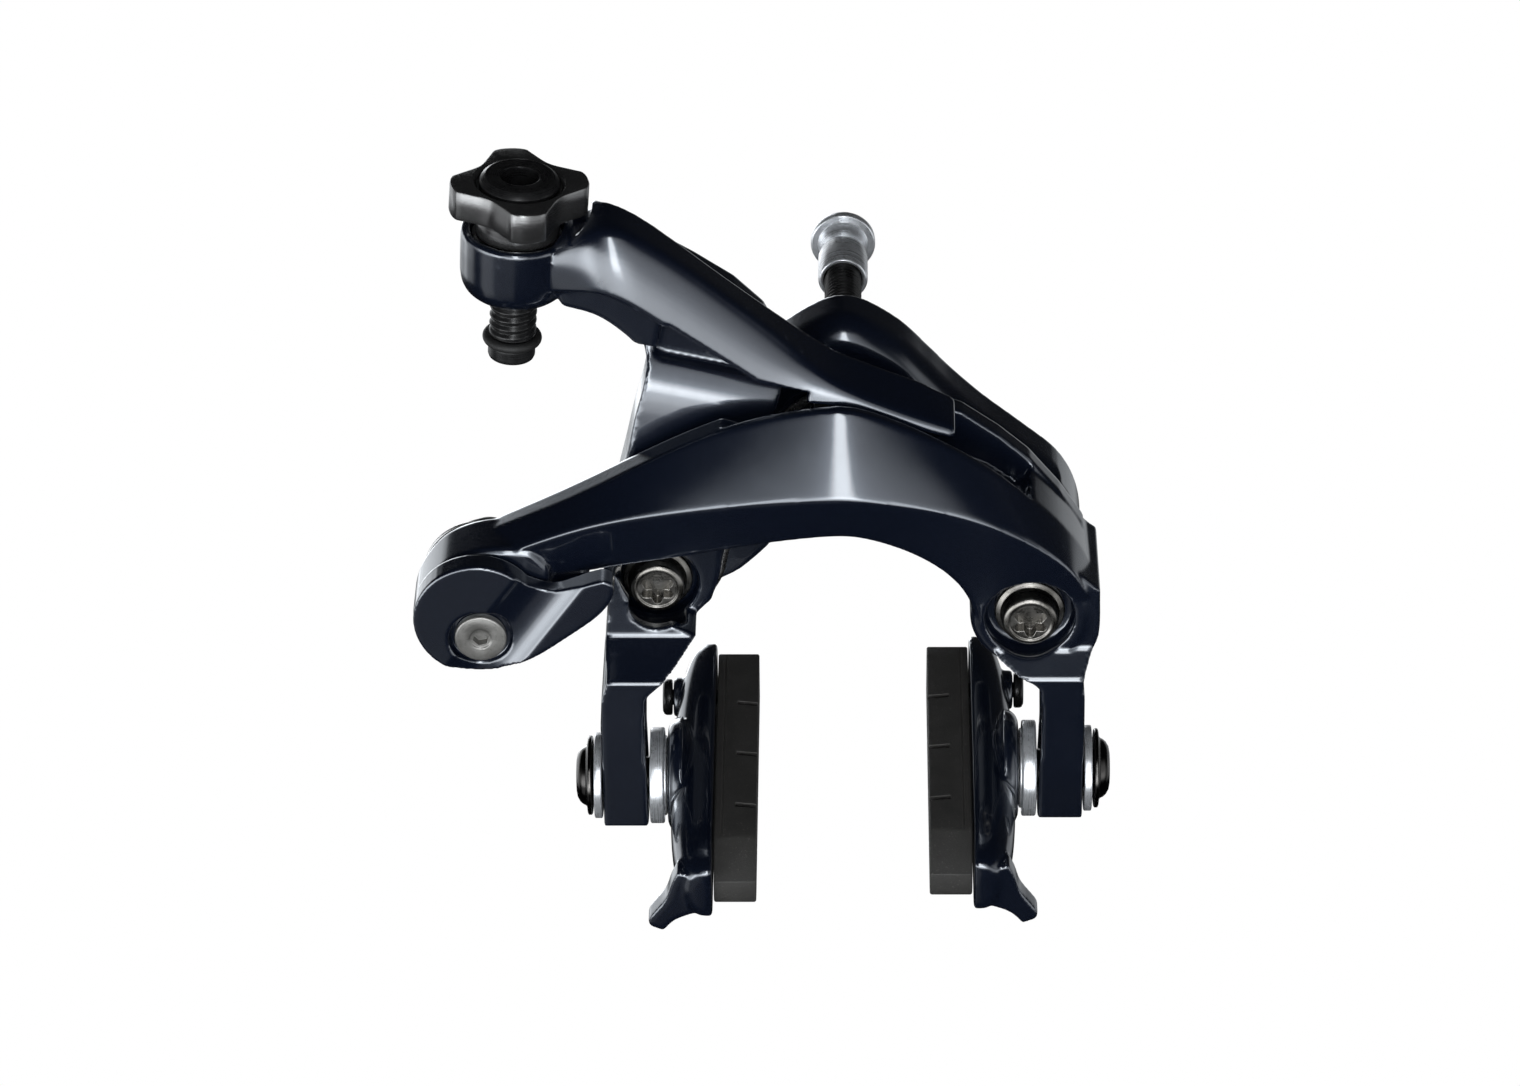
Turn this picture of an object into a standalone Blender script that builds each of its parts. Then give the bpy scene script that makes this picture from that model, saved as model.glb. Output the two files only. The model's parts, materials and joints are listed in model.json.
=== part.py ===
"""Dual-pivot rim brake caliper, modelled as separate solids.

Lengths are millimetres, turned into metres by MM. Shapes are drawn about the axis of the
mounting bolt: +X to the right as seen from the front (the rider's left), +Y rearwards to the
frame, +Z up. In names, "left" is the -X side. The frame empty lowers everything by BOLT_DROP,
so the origin lies on the rear face of the mounting washer, straight above the bolt.
"""
import math

import bmesh
import bpy
from mathutils import Matrix, Vector

# ---------------------------------------------------------------- driving dimensions (mm)
MM = 0.001
STEPS = 24                          # facets of a turned piece, unless given
SIDES = ((-1, "left"), (1, "right"))
CLEARANCE = 0.1                     # between pivot bolts, bushes and their bores
BOLT_DROP = 6.0                     # mounting bolt axis below the origin

# Axes that run front to rear are given as (x, z).
PIVOTS = {-1: (-28.7, -19.7), 1: (28.7, -19.7)}
PIVOT_R = 3.0
PIVOT_FRONT_Y = {-1: -24.8, 1: -34.2}   # front faces of the pivot bolt heads
PIVOT_SEAT_Y = {side: y + 4.6 for side, y in PIVOT_FRONT_Y.items()}
BUSH_R = 4.2
BRIDGE_Y = (-12.0, -2.2)            # front and rear faces of the rear bridge
ARM_REAR_Y = -14.0                  # rear faces of both arms at their pivots
LEG_REAR_Y = ARM_REAR_Y - 0.1
CENTRING_AT = (0, -7.2, -22.0)      # axis of the centring screw, which runs along X

HUB = (-55.6, -15.5)                # axis on which the quick-release lever turns
HUB_R = 6.9
ANCHOR = (-55.2, -18.9)             # cable anchor, eccentric in the lever hub
ANCHOR_R = 3.0
ROLLER = (0.0, 8.0)                 # link roller between the arms
ROLLER_R = 4.0
CAM_R = 32.6                        # radius of the cam the roller runs on
CAM_GAP = 0.06
CAM_X = (-4.4, 10.4)                # ends of the cam face

BARREL_TOP = (-48.3, -17.0, 48.5)
BARREL_END = (-50.5, -17.0, 17.8)
ROD_R = 3.6                         # barrel bolt
ROD_BORE_R = ROD_R + 0.15
KNOB_Z = (43.0, 48.0)               # underside and top of the lobes
KNOB_LOBES = 4
KNOB_LOBE_R = 10.4                  # at the corners of a lobe
KNOB_CREST_R = 10.55                # at the middle of a lobe
KNOB_HOLLOW = 2.75                  # depth of the hollow between two lobes
KNOB_HALF_LOBE = 13.5               # degrees
KNOB_TURN = 11                      # degrees, first lobe from +X

SPRING_Y = -13.0
SPRING_WIRE_R = 0.75

SHOE_Y = -31.0                      # shoe bolt axis
SHOE_Z = {-1: -50.3, 1: -48.9}
SHOE_PITCH = 5.0                    # degrees, front end down
REACH_TRAVEL = 10.0
REACH_SLOT_R = 3.5
HOLDER_INNER_X = 20.0
PAD_FACE = 13.3                     # braking faces at x = +-PAD_FACE
PAD_BACK = 19.8
PAD_SCREW_Y = -11.6
PAD_SCREW_BORE_R = 1.35
GROOVES_Y = (-44.0, -31.6, -19.2)
GROOVE_DEPTH = 1.6
GROOVE_HALF_WIDTH = 0.6

# ---------------------------------------------------------------- scene and materials
for old in list(bpy.data.objects):
    bpy.data.objects.remove(old, do_unlink=True)
PARTS = bpy.data.collections.new("rim_brake_caliper")
CUTTERS = bpy.data.collections.new("cutters")
for collection in (PARTS, CUTTERS):
    bpy.context.scene.collection.children.link(collection)

FRAME = bpy.data.objects.new("caliper_frame", None)
FRAME.location = (0, 0, -BOLT_DROP * MM)
PARTS.objects.link(FRAME)

# key: (material name, base colour, roughness, metallic)
FINISHES = {
    "arm": ("navy_black_paint", (0.010, 0.014, 0.026), 0.22, 0.6),
    "black": ("black_oxide", (0.02, 0.02, 0.02), 0.35, 0.8),
    "knob": ("satin_black", (0.025, 0.025, 0.025), 0.4, 0.5),
    "silver": ("polished_silver", (0.75, 0.76, 0.78), 0.15, 1.0),
    "nickel": ("dark_nickel", (0.22, 0.21, 0.20), 0.25, 1.0),
    "steel": ("steel", (0.45, 0.45, 0.46), 0.3, 1.0),
    "rubber": ("brake_rubber", (0.035, 0.034, 0.032), 0.8, 0.0),
    "plastic": ("black_plastic", (0.02, 0.02, 0.02), 0.5, 0.0),
    "bronze": ("bronze", (0.45, 0.30, 0.14), 0.35, 1.0),
}


def make_material(name, colour, roughness, metallic):
    made = bpy.data.materials.new(name)
    made.use_nodes = True
    inputs = made.node_tree.nodes["Principled BSDF"].inputs
    inputs["Base Color"].default_value = (*colour, 1)
    inputs["Roughness"].default_value = roughness
    inputs["Metallic"].default_value = metallic
    return made


MATERIALS = {key: make_material(*finish) for key, finish in FINISHES.items()}


# ---------------------------------------------------------------- solids
def link(ob, material=None):
    """Files a piece under PARTS, or a helper without material under CUTTERS."""
    ob.parent = FRAME
    if material is None:
        CUTTERS.objects.link(ob)
        ob.hide_render = True
        ob.display_type = "WIRE"
    else:
        PARTS.objects.link(ob)
        ob.data.materials.append(MATERIALS[material])
    return ob


AXES = {
    "Z": Matrix.Identity(4),
    "Y": Matrix.Rotation(math.radians(-90), 4, "X"),
    "X": Matrix.Rotation(math.radians(90), 4, "Y"),
}


def turned(name, profile, material=None, axis="Z", at=(0, 0, 0), loop=False, steps=STEPS,
           turn=Matrix.Identity(4)):
    """A turned piece: profile of (radius, height) running down its outer side."""
    mesh = bpy.data.meshes.new(name)
    count = len(profile)
    edges = [(i, i + 1) for i in range(count - 1)]
    if loop:
        edges.append((count - 1, 0))
    mesh.from_pydata([(radius * MM, 0, height * MM) for radius, height in profile], edges, [])
    ob = link(bpy.data.objects.new(name, mesh), material)
    # a helper not named "_solid" is turned by part of a facet, so that its edges
    # never run along those of the piece it meets
    spin = 0.0 if material or name.endswith("_solid") else math.pi / steps * 0.77
    place = Matrix.Translation(Vector(at) * MM)
    ob.matrix_basis = place @ turn @ AXES[axis] @ Matrix.Rotation(spin, 4, "Z")
    screw = ob.modifiers.new("Screw", "SCREW")
    screw.axis = "Z"
    screw.angle = math.tau
    screw.steps = screw.render_steps = steps
    screw.use_merge_vertices = True
    screw.merge_threshold = 1e-6
    screw.use_smooth_shade = False
    return ob


def y_axis_at(centre):
    return (centre[0], 0, centre[1])


def turned_y(name, profile, material=None, centre=(0, 0), **options):
    """A piece turned about a front-to-rear axis; its profile heights are y."""
    return turned(name, profile, material, "Y", at=y_axis_at(centre), **options)


def ring(inner, outer, low, high, chamfer=0.0):
    """Profile of a ring; the chamfer is on its outer edges."""
    if chamfer:
        return [(inner, high), (outer - chamfer, high), (outer, high - chamfer),
                (outer, low + chamfer), (outer - chamfer, low), (inner, low)]
    return [(inner, high), (outer, high), (outer, low), (inner, low)]


def rod(radius, low, high, chamfer=0.0):
    return ring(0, radius, low, high, chamfer)


# plane: (direction from low to high, matrix that stands a flat outline in the plane)
PLANES = {
    "XZ": (Vector((0, 1, 0)),
           Matrix(((1, 0, 0, 0), (0, 0, -1, 0), (0, 1, 0, 0), (0, 0, 0, 1)))),
    "YZ": (Vector((1, 0, 0)),
           Matrix(((0, 0, 1, 0), (1, 0, 0, 0), (0, 1, 0, 0), (0, 0, 0, 1)))),
    "XY": (Vector((0, 0, 1)), Matrix.Identity(4)),
}


def add_polyline(curve, points, closed):
    spline = curve.splines.new("POLY")
    spline.points.add(len(points) - 1)
    spline.use_cyclic_u = closed
    for point, (x, y, z) in zip(spline.points, points):
        point.co = (x * MM, y * MM, z * MM, 1)


def curve_to_piece(name, curve, material, placement=Matrix.Identity(4), dissolve=False):
    """Turns a curve into a mesh piece and removes the curve."""
    carrier = bpy.data.objects.new(name + "_curve", curve)
    bpy.context.scene.collection.objects.link(carrier)
    carrier.matrix_world = placement
    bpy.context.view_layer.update()
    depsgraph = bpy.context.evaluated_depsgraph_get()
    mesh = bpy.data.meshes.new_from_object(carrier.evaluated_get(depsgraph))
    mesh.transform(carrier.matrix_world)
    bm = bmesh.new()
    bm.from_mesh(mesh)
    bmesh.ops.remove_doubles(bm, verts=bm.verts, dist=1e-6)
    if dissolve:
        bmesh.ops.dissolve_limit(bm, angle_limit=math.radians(0.5), verts=bm.verts,
                                 edges=bm.edges)
    bmesh.ops.recalc_face_normals(bm, faces=bm.faces)
    bm.to_mesh(mesh)
    bm.free()
    bpy.data.objects.remove(carrier)
    bpy.data.curves.remove(curve)
    mesh.name = name
    return link(bpy.data.objects.new(name, mesh), material)


def plate(name, outline, plane, low, high, material=None, bevel=0.0, segments=1):
    """A flat outline with thickness from low to high across its plane."""
    curve = bpy.data.curves.new(name, "CURVE")
    curve.dimensions = "2D"
    curve.fill_mode = "BOTH"
    curve.extrude = (high - low) / 2 * MM
    add_polyline(curve, [(a, b, 0) for a, b in outline], closed=True)
    normal, stand = PLANES[plane]
    placement = Matrix.Translation(normal * ((low + high) / 2 * MM)) @ stand
    ob = curve_to_piece(name, curve, material, placement, dissolve=True)
    if bevel:
        bevelled(ob, bevel, segments)
    return ob


def bevelled(ob, width, segments=1):
    bevel = ob.modifiers.new("Bevel", "BEVEL")
    bevel.width = width * MM
    bevel.segments = segments
    bevel.limit_method = "ANGLE"
    bevel.angle_limit = math.radians(35)


def piece_from_bmesh(name, bm, material):
    mesh = bpy.data.meshes.new(name)
    bm.to_mesh(mesh)
    bm.free()
    return link(bpy.data.objects.new(name, mesh), material)


def block(name, low, high, material=None, bevel=0.0):
    """A box between two opposite corners."""
    bm = bmesh.new()
    bmesh.ops.create_cube(bm, size=1)
    for v in bm.verts:
        v.co = Vector([(low[i] + (v.co[i] + 0.5) * (high[i] - low[i])) * MM for i in range(3)])
    ob = piece_from_bmesh(name, bm, material)
    if bevel:
        bevelled(ob, bevel)
    return ob


def loft(name, sections, material, creases, cap_crease=0.6):
    """A body through unlike sections, each a ring of the same number of points.

    creases gives, by point index, the crease of the edges that run lengthwise.
    """
    bm = bmesh.new()
    rows = [[bm.verts.new(Vector(p) * MM) for p in section] for section in sections]
    count = len(rows[0])
    for row, following in zip(rows, rows[1:]):
        for i in range(count):
            j = (i + 1) % count
            bm.faces.new((row[i], row[j], following[j], following[i]))
    bm.faces.new(rows[0])
    bm.faces.new(list(reversed(rows[-1])))
    bmesh.ops.recalc_face_normals(bm, faces=bm.faces)
    layer = bm.edges.layers.float.new("crease_edge")
    for row, following in zip(rows, rows[1:]):
        for i, crease in creases.items():
            bm.edges.get((row[i], following[i]))[layer] = crease
    for row in (rows[0], rows[-1]):
        for i in range(count):
            bm.edges.get((row[i], row[(i + 1) % count]))[layer] = cap_crease
    ob = piece_from_bmesh(name, bm, material)
    subdivision = ob.modifiers.new("Subdivision", "SUBSURF")
    subdivision.levels = subdivision.render_levels = 1
    return ob


def boolean(ob, operation, *others):
    for other in others:
        modifier = ob.modifiers.new(operation.title(), "BOOLEAN")
        modifier.operation = operation
        modifier.object = other
        modifier.solver = "EXACT"


def cut(ob, *others):
    boolean(ob, "DIFFERENCE", *others)


def add(ob, *others):
    boolean(ob, "UNION", *others)


# ---------------------------------------------------------------- outlines
def polar(centre, radius, angle):
    return (centre[0] + radius * math.cos(angle), centre[1] + radius * math.sin(angle))


def arc(centre, radius, start, end, count):
    return [polar(centre, radius, math.radians(start + (end - start) * i / count))
            for i in range(count + 1)]


def hexagon(centre, flats, turn=0.0):
    return [polar(centre, flats / math.sqrt(3), math.radians(60 * i + turn)) for i in range(6)]


def star(centre, tip_r, root_r, points=6):
    outline = []
    for i in range(points * 2):
        angle = math.tau * i / (points * 2)
        radius = root_r if i % 2 else tip_r
        outline.append((centre[0] + radius * math.sin(angle),
                        centre[1] + radius * math.cos(angle)))
    return outline


def mix(a, b, t=0.5, lift=0.0):
    """The point a share t of the way from a to b, with its y shifted by lift."""
    return (a[0] + (b[0] - a[0]) * t, a[1] + (b[1] - a[1]) * t + lift, a[2] + (b[2] - a[2]) * t)


def span(side, near, far):
    """Lower and upper x of a stretch given by its distances from the middle."""
    return sorted((side * near, side * far))


# ---------------------------------------------------------------- rear bridge
# (x, z) of the right half, from the top middle round to the bottom middle
BRIDGE_HALF = [
    (0, 20.0), (3.1, 19.3), (8.8, 15.6), (13.0, 11.2), (16.9, 6.9), (22.0, 2.0), (28.0, -3.0),
    (33.5, -8.0), (36.4, -13.5), (37.2, -19.5), (35.8, -24.8), (32.4, -28.0), (28.7, -28.9),
    (24.0, -28.2), (19.8, -26.4), (16.6, -24.6), (13.6, -22.0), (9.5, -17.5), (5.0, -15.0),
    (0, -14.2)]
BRIDGE = BRIDGE_HALF + [(-x, z) for x, z in reversed(BRIDGE_HALF[1:-1])]

rear_bridge = plate("rear_bridge", BRIDGE, "XZ", *BRIDGE_Y, "arm", bevel=1.2)
cut(rear_bridge,
    turned_y("bridge_bolt_bore", rod(3.15, -20, 5)),
    turned_y("bridge_pivot_bore_l", rod(PIVOT_R + CLEARANCE, -20, -2.9), centre=PIVOTS[-1]),
    turned_y("bridge_pivot_bore_r", rod(PIVOT_R + CLEARANCE, -20, -2.9), centre=PIVOTS[1]),
    turned("centring_screw_bore", rod(1.6, 31.5, 45), axis="X", at=CENTRING_AT))

# ---------------------------------------------------------------- mounting bolt, centring screw
# Profiles about a front-to-rear axis are (radius, y), rear end first.
MOUNTING_BOLT = [(0, 46.0), (2.4, 46.0), (3.0, 45.4), (3.0, -12.2), (4.7, -12.2), (4.7, -15.6),
                 (4.2, -16.2), (0, -16.2)]
SUNK_NUT = [(3.15, 50.6), (4.7, 50.6), (5.25, 49.9), (5.25, 48.4), (4.0, 48.4), (4.0, 36.5),
            (3.15, 36.5)]

turned_y("mounting_washer", ring(3.2, 8.0, -2.0, 0.0, chamfer=0.3), "black", loop=True)
mounting_bolt = turned_y("mounting_bolt", MOUNTING_BOLT, "black")
cut(mounting_bolt, plate("mounting_bolt_socket", hexagon((0, 0), 5.0), "XZ", -20, -13.4))
turned_y("sunk_nut", SUNK_NUT, "silver", loop=True)
centring_screw = turned("centring_screw", rod(1.5, 32.0, 39.4, chamfer=0.3), "steel", "X",
                        at=CENTRING_AT, steps=16)
cut(centring_screw, plate("centring_screw_socket", hexagon(CENTRING_AT[1:], 1.5), "YZ", 38.2, 41))


# ---------------------------------------------------------------- pivot hardware
def pivot_hardware(side, tag):
    """Pivot bolt with its bush in the arm and the washer between arm and bridge."""
    centre = PIVOTS[side]
    front = PIVOT_FRONT_Y[side]
    seat = PIVOT_SEAT_Y[side]
    profile = [(0, -3.1), (PIVOT_R, -3.1), (PIVOT_R, seat - 0.2), (5.4, seat - 0.2),
               (5.4, seat - 1.5), (4.25, seat - 2.6), (4.25, front + 0.4), (3.8, front), (0, front)]
    bolt = turned_y(f"{tag}_pivot_bolt", profile, "nickel", centre, steps=20)
    cut(bolt, plate(f"{tag}_pivot_bolt_socket", star(centre, 2.75, 2.0), "XZ",
                    front - 2, front + 2.2))
    turned_y(f"{tag}_pivot_bush", ring(PIVOT_R + 0.08, BUSH_R, seat, ARM_REAR_Y - 0.1),
             "bronze", centre, loop=True, steps=20)
    turned_y(f"{tag}_thrust_washer",
             ring(PIVOT_R + CLEARANCE, 6.6, ARM_REAR_Y + 0.15, BRIDGE_Y[0] - 0.15),
             "bronze", centre, loop=True)


for side, tag in SIDES:
    pivot_hardware(side, tag)


# ---------------------------------------------------------------- features of both arms
def leg(side, tag, outline, side_outline):
    """A leg: its outline from the front, kept within its outline from the side."""
    solid = plate(f"{tag}_leg_solid", outline, "XZ", -40, -10)
    boolean(solid, "INTERSECT",
            plate(f"{tag}_leg_side", side_outline, "YZ", *span(side, 15, 45)))
    bevelled(solid, 0.8)
    return solid


def reach_slot(side, tag):
    """Upright slot through the leg, in which the shoe bolt is set for height."""
    z = SHOE_Z[side]
    outline = (arc((SHOE_Y, z + REACH_TRAVEL + 0.1), REACH_SLOT_R, 0, 180, 5)
               + arc((SHOE_Y, z - 0.1), REACH_SLOT_R, 180, 360, 5))
    return plate(f"{tag}_reach_slot", outline, "YZ", *span(side, 26, 45))


def bush_bore(side, tag):
    return turned_y(f"{tag}_bush_bore", rod(BUSH_R + CLEARANCE, -30, -10), centre=PIVOTS[side])


# ---------------------------------------------------------------- front arm
# One row per station, from the lever end to the right pivot: top edge, ridge, bottom edge, each
# (x, z, y), then the y of the rear face at the top and at the bottom.
FRONT_ARM = [
    ((-57.5, -7.4, -30.0), (-56.6, -8.0, -34.2), (-55.6, -9.0, -35.4), -27.0, -27.0),
    ((-54.0, -5.6, -30.0), (-53.0, -7.2, -35.4), (-51.5, -9.6, -35.2), -26.2, -26.4),
    ((-48.5, -3.2, -30.0), (-47.2, -4.2, -36.0), (-46.2, -11.0, -34.2), -25.6, -25.8),
    ((-42.0, -0.2, -30.0), (-40.5, -1.6, -36.0), (-41.0, -11.1, -34.0), -25.2, -25.4),
    ((-35.0, 3.6, -30.0), (-33.0, 0.3, -36.0), (-34.5, -9.6, -34.0), -25.0, -25.0),
    ((-23.0, 10.4, -30.0), (-21.5, 1.9, -36.0), (-23.2, -7.9, -34.0), -25.0, -25.0),
    ((-12.5, 14.4, -30.2), (-11.5, 3.1, -36.2), (-12.6, -5.6, -34.0), -25.0, -25.0),
    ((-2.2, 16.2, -30.6), (-2.2, 3.8, -36.6), (-2.2, -4.2, -34.2), -25.0, -24.0),
    ((2.2, 16.0, -30.6), (2.2, 3.7, -36.6), (2.2, -4.2, -34.2), -22.5, -20.5),
    ((9.6, 12.8, -30.2), (11.2, 2.3, -36.2), (9.2, -6.6, -34.0), -17.0, -17.2),
    ((17.0, 8.8, -30.0), (19.0, 0.4, -36.0), (15.0, -10.2, -34.0), -15.2, -15.4),
    ((24.0, 4.0, -29.6), (25.8, -2.7, -35.8), (18.4, -14.2, -33.6), -14.2, -14.4),
    ((31.0, -2.8, -28.6), (31.6, -6.8, -35.0), (19.8, -17.8, -33.2), -14.2, -14.2),
    ((36.4, -9.4, -27.0), (35.6, -11.2, -33.8), (20.3, -20.6, -32.8), -14.2, -14.2),
    ((38.9, -16.5, -25.6), (37.6, -16.0, -32.8), (21.0, -22.8, -32.5), -14.2, -14.2),
]
# Outlines seen from the front, (x, z)
LEVER_END = [
    (-47, -5.6), (-52, -5.3), (-56.5, -6.0), (-60.4, -7.9), (-63.1, -10.8), (-65.2, -14.8),
    (-65.7, -18.2), (-64.4, -21.6), (-61.2, -24.3), (-56, -25.4), (-50.6, -24.2),
    (-46.8, -20.6), (-45.2, -15.0), (-44.6, -9)]
LEVER_RIB = [(-50, -8.2), (-38.8, -8.4), (-38.8, -12.4), (-40.4, -15.6), (-50, -18.0)]
RIGHT_LEG = [
    (30.3, -55.1), (37.3, -55.1), (37.3, -33.0), (37.1, -29.6), (38.0, -26.8), (39.3, -23.6),
    (39.4, -15.0), (33, -10), (24, -10), (20.4, -17.0), (20.5, -21.5), (22.6, -25.6),
    (26.8, -28.7), (29.4, -30.2), (30.3, -31.2)]
CHANNEL = [
    (-24, 34), (-24, 13.6), (-12, 9.5), (-6.5, 2.4), (8, 2.4), (13, 3.6), (22, -0.6),
    (26.4, -3.9), (28.2, -2.6), (29.4, 0.2), (29.4, 34)]
REAR_WALL = [
    (-5.0, 7.0), (-5.0, 11.6), (0, 12.6), (9, 11.0), (18.1, 8.9), (24, 4.6), (28.6, 0.5),
    (33.5, -5.6), (37.5, -12), (30, -14), (18, -6), (9, 5.4)]
# Outline seen from the side, (y, z)
RIGHT_LEG_SIDE = [
    (-36.0, -56.5), (-36.0, -29.1), (-32.4, -25.4), (-32.4, -8), (LEG_REAR_Y, -8),
    (LEG_REAR_Y, -29.4), (-19.4, -36.0), (-26.0, -42.0), (-26.0, -56.5)]


def front_arm_section(top, ridge, bottom, rear_top_y, rear_bottom_y):
    top, ridge, bottom = ((x, y, z) for x, z, y in (top, ridge, bottom))
    rear_top = (top[0], rear_top_y, top[2] - 0.4)
    rear_bottom = (bottom[0], rear_bottom_y, bottom[2] + 0.4)
    return [top, mix(top, ridge, lift=-0.25), ridge, mix(ridge, bottom, lift=-0.1), bottom,
            mix(bottom, rear_bottom), rear_bottom, mix(rear_bottom, rear_top), rear_top,
            mix(rear_top, top)]


front_arm = loft("front_arm", [front_arm_section(*row) for row in FRONT_ARM], "arm",
                 creases={0: 0.7, 2: 0.9, 4: 0.7, 6: 0.5, 8: 0.5})
add(front_arm,
    plate("lever_end_solid", LEVER_END, "XZ", -36.0, -26.2, bevel=1.0),
    plate("lever_rib_solid", LEVER_RIB, "XZ", -33.6, -27.2, bevel=0.5),
    plate("rear_wall_solid", REAR_WALL, "XZ", -19.4, -15.2, bevel=0.6),
    turned_y("right_boss_solid", rod(9.2, -32.7, ARM_REAR_Y, chamfer=0.7), centre=PIVOTS[1]),
    leg(1, "right", RIGHT_LEG, RIGHT_LEG_SIDE))
cut(front_arm,
    turned_y("lever_hub_bore", rod(HUB_R + 0.15, -45, -20), centre=HUB),
    turned_y("lever_clearance", rod(22.6, -50, -36.05), centre=HUB),
    plate("link_channel", CHANNEL, "XZ", -28.6, -19.0),
    turned_y("roller_axle_bore", rod(1.58, -32.0, -12), centre=ROLLER, steps=16),
    turned_y("right_bolt_recess", rod(6.9, -50, PIVOT_SEAT_Y[1] + 0.1), centre=PIVOTS[1]),
    bush_bore(1, "right"),
    reach_slot(1, "right"))

turned_y("roller_axle", rod(1.5, -31.6, -15.3, chamfer=0.2), "steel", ROLLER, steps=16)
turned_y("link_roller", ring(1.62, ROLLER_R, -27.2, -20.8, chamfer=0.3), "steel", ROLLER,
         loop=True, steps=32)

# ---------------------------------------------------------------- barrel axis
LEAN = Matrix.Rotation(
    math.atan2(BARREL_TOP[0] - BARREL_END[0], BARREL_TOP[2] - BARREL_END[2]), 4, "Y")


def along_barrel(z):
    """Distance along the leaning barrel axis at which it reaches height z."""
    return (z - BARREL_END[2]) / LEAN.to_3x3().col[2][2]


def on_barrel(name, profile, material=None, **options):
    """A piece turned about the barrel axis: profile of (radius, z on the axis)."""
    return turned(name, [(radius, along_barrel(z)) for radius, z in profile], material,
                  at=BARREL_END, turn=LEAN, **options)


# ---------------------------------------------------------------- adjuster arm
# One row per station along the bar, from the cup to the tongue: x, then the upper front, lower
# front, upper rear and lower rear edge, each (z, y).
BAR = [
    (-44.6, (38.8, -22.9), (31.8, -22.7), (38.8, -12.6), (31.6, -12.6)),
    (-40.6, (41.9, -24.8), (33.4, -25.4), (42.6, -12.2), (31.3, -12.6)),
    (-35.6, (44.8, -25.2), (35.0, -28.0), (45.4, -17.5), (31.4, -15.5)),
    (-30.0, (42.4, -25.1), (31.2, -28.0), (43.0, -18.5), (28.2, -16.0)),
    (-21.5, (36.2, -25.1), (24.8, -28.0), (35.8, -19.0), (21.5, -16.0)),
    (-10.0, (26.4, -25.3), (16.3, -28.0), (26.4, -19.0), (14.0, -16.5)),
    (-5.6, (22.0, -25.7), (15.7, -28.0), (23.2, -19.2), (13.6, -19.0)),
    (-1.2, (18.4, -27.6), (15.4, -28.0), (20.1, -19.6), (13.0, -19.5)),
    (6.0, (15.2, -27.8), (12.9, -28.1), (17.4, -19.8), (12.6, -19.7)),
    (12.6, (12.6, -27.8), (10.3, -28.1), (14.7, -20.0), (10.2, -19.8)),
    (17.0, (11.0, -27.6), (9.6, -27.9), (12.2, -20.4), (9.6, -20.0)),
]
# Outlines seen from the front, (x, z)
WEB = [
    (-36.0, -12), (-35.0, -5.0), (-33.2, 3.0), (-31.8, 9.4), (-30.4, 14.6), (-29.9, 18.6),
    (-31.0, 22.2), (-33.6, 25.2), (-37.4, 28.0), (-42.5, 29.6), (-44, 36), (-36, 42), (-28, 38),
    (-12, 26), (-9.2, 15), (-10.4, 10), (-13.5, 1.5), (-16.5, -8.0), (-18.6, -15.5),
    (-20.4, -23.5), (-30, -27), (-36.4, -22.0)]
LEFT_LEG = [
    (-37.3, -56.7), (-30.3, -56.7), (-30.3, -33.0), (-29.4, -31.6), (-24.2, -26.8),
    (-20.6, -22.8), (-18.8, -17), (-18.8, -10), (-36, -10), (-36.8, -14), (-36.2, -19.5),
    (-36.7, -26.3), (-36.5, -30), (-37.3, -33.5)]
LEFT_RECESS = [
    (-41, -10), (-37.6, -12.6), (-35.0, -14.6), (-33.4, -18.0), (-31.4, -20.8), (-28.7, -22.5),
    (-25.0, -24.0), (-21.6, -25.6), (-17, -27.4), (-13, -27.4), (-13, -6), (-41, -6)]
WEB_POCKET = [(-26.8, 29.4), (-28.8, 19.2), (-27.6, 18.4), (-10.6, 14.4), (-9.6, 16.8)]
CAM_ROOM = [(-4.8, 4), (10.8, 4), (10.8, 12.0), (6.1, 13.6), (-4.8, 14.2)]
# Outline seen from the side, (y, z)
LEFT_LEG_SIDE = [
    (-36.0, -58), (-36.0, -29.8), (-29.6, -25.2), (-28.9, -16), (-28.6, -8), (LEG_REAR_Y, -8),
    (LEG_REAR_Y, -29.4), (-19.4, -36), (-26, -42), (-26, -58)]
# Profiles about the barrel axis, (radius, z on the axis)
CUP = [(0, 40.0), (8.5, 40.0), (8.4, 33.0), (7.8, 30.6), (6.4, 29.3), (0, 29.0)]
CUP_BORE = [(0, 60), (7.1, 60), (7.1, 38.4), (ROD_BORE_R, 38.4), (ROD_BORE_R, 10), (0, 10)]


def bar_section(x, *edges):
    upper_front, lower_front, upper_rear, lower_rear = ((x, y, z) for z, y in edges)
    bow = 0.58 if x < -3 else 0.1            # the front face bows forward
    return [upper_front, mix(upper_front, lower_front, lift=-bow), lower_front,
            mix(lower_front, lower_rear), lower_rear, mix(lower_rear, upper_rear), upper_rear,
            mix(upper_rear, upper_front)]


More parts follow.
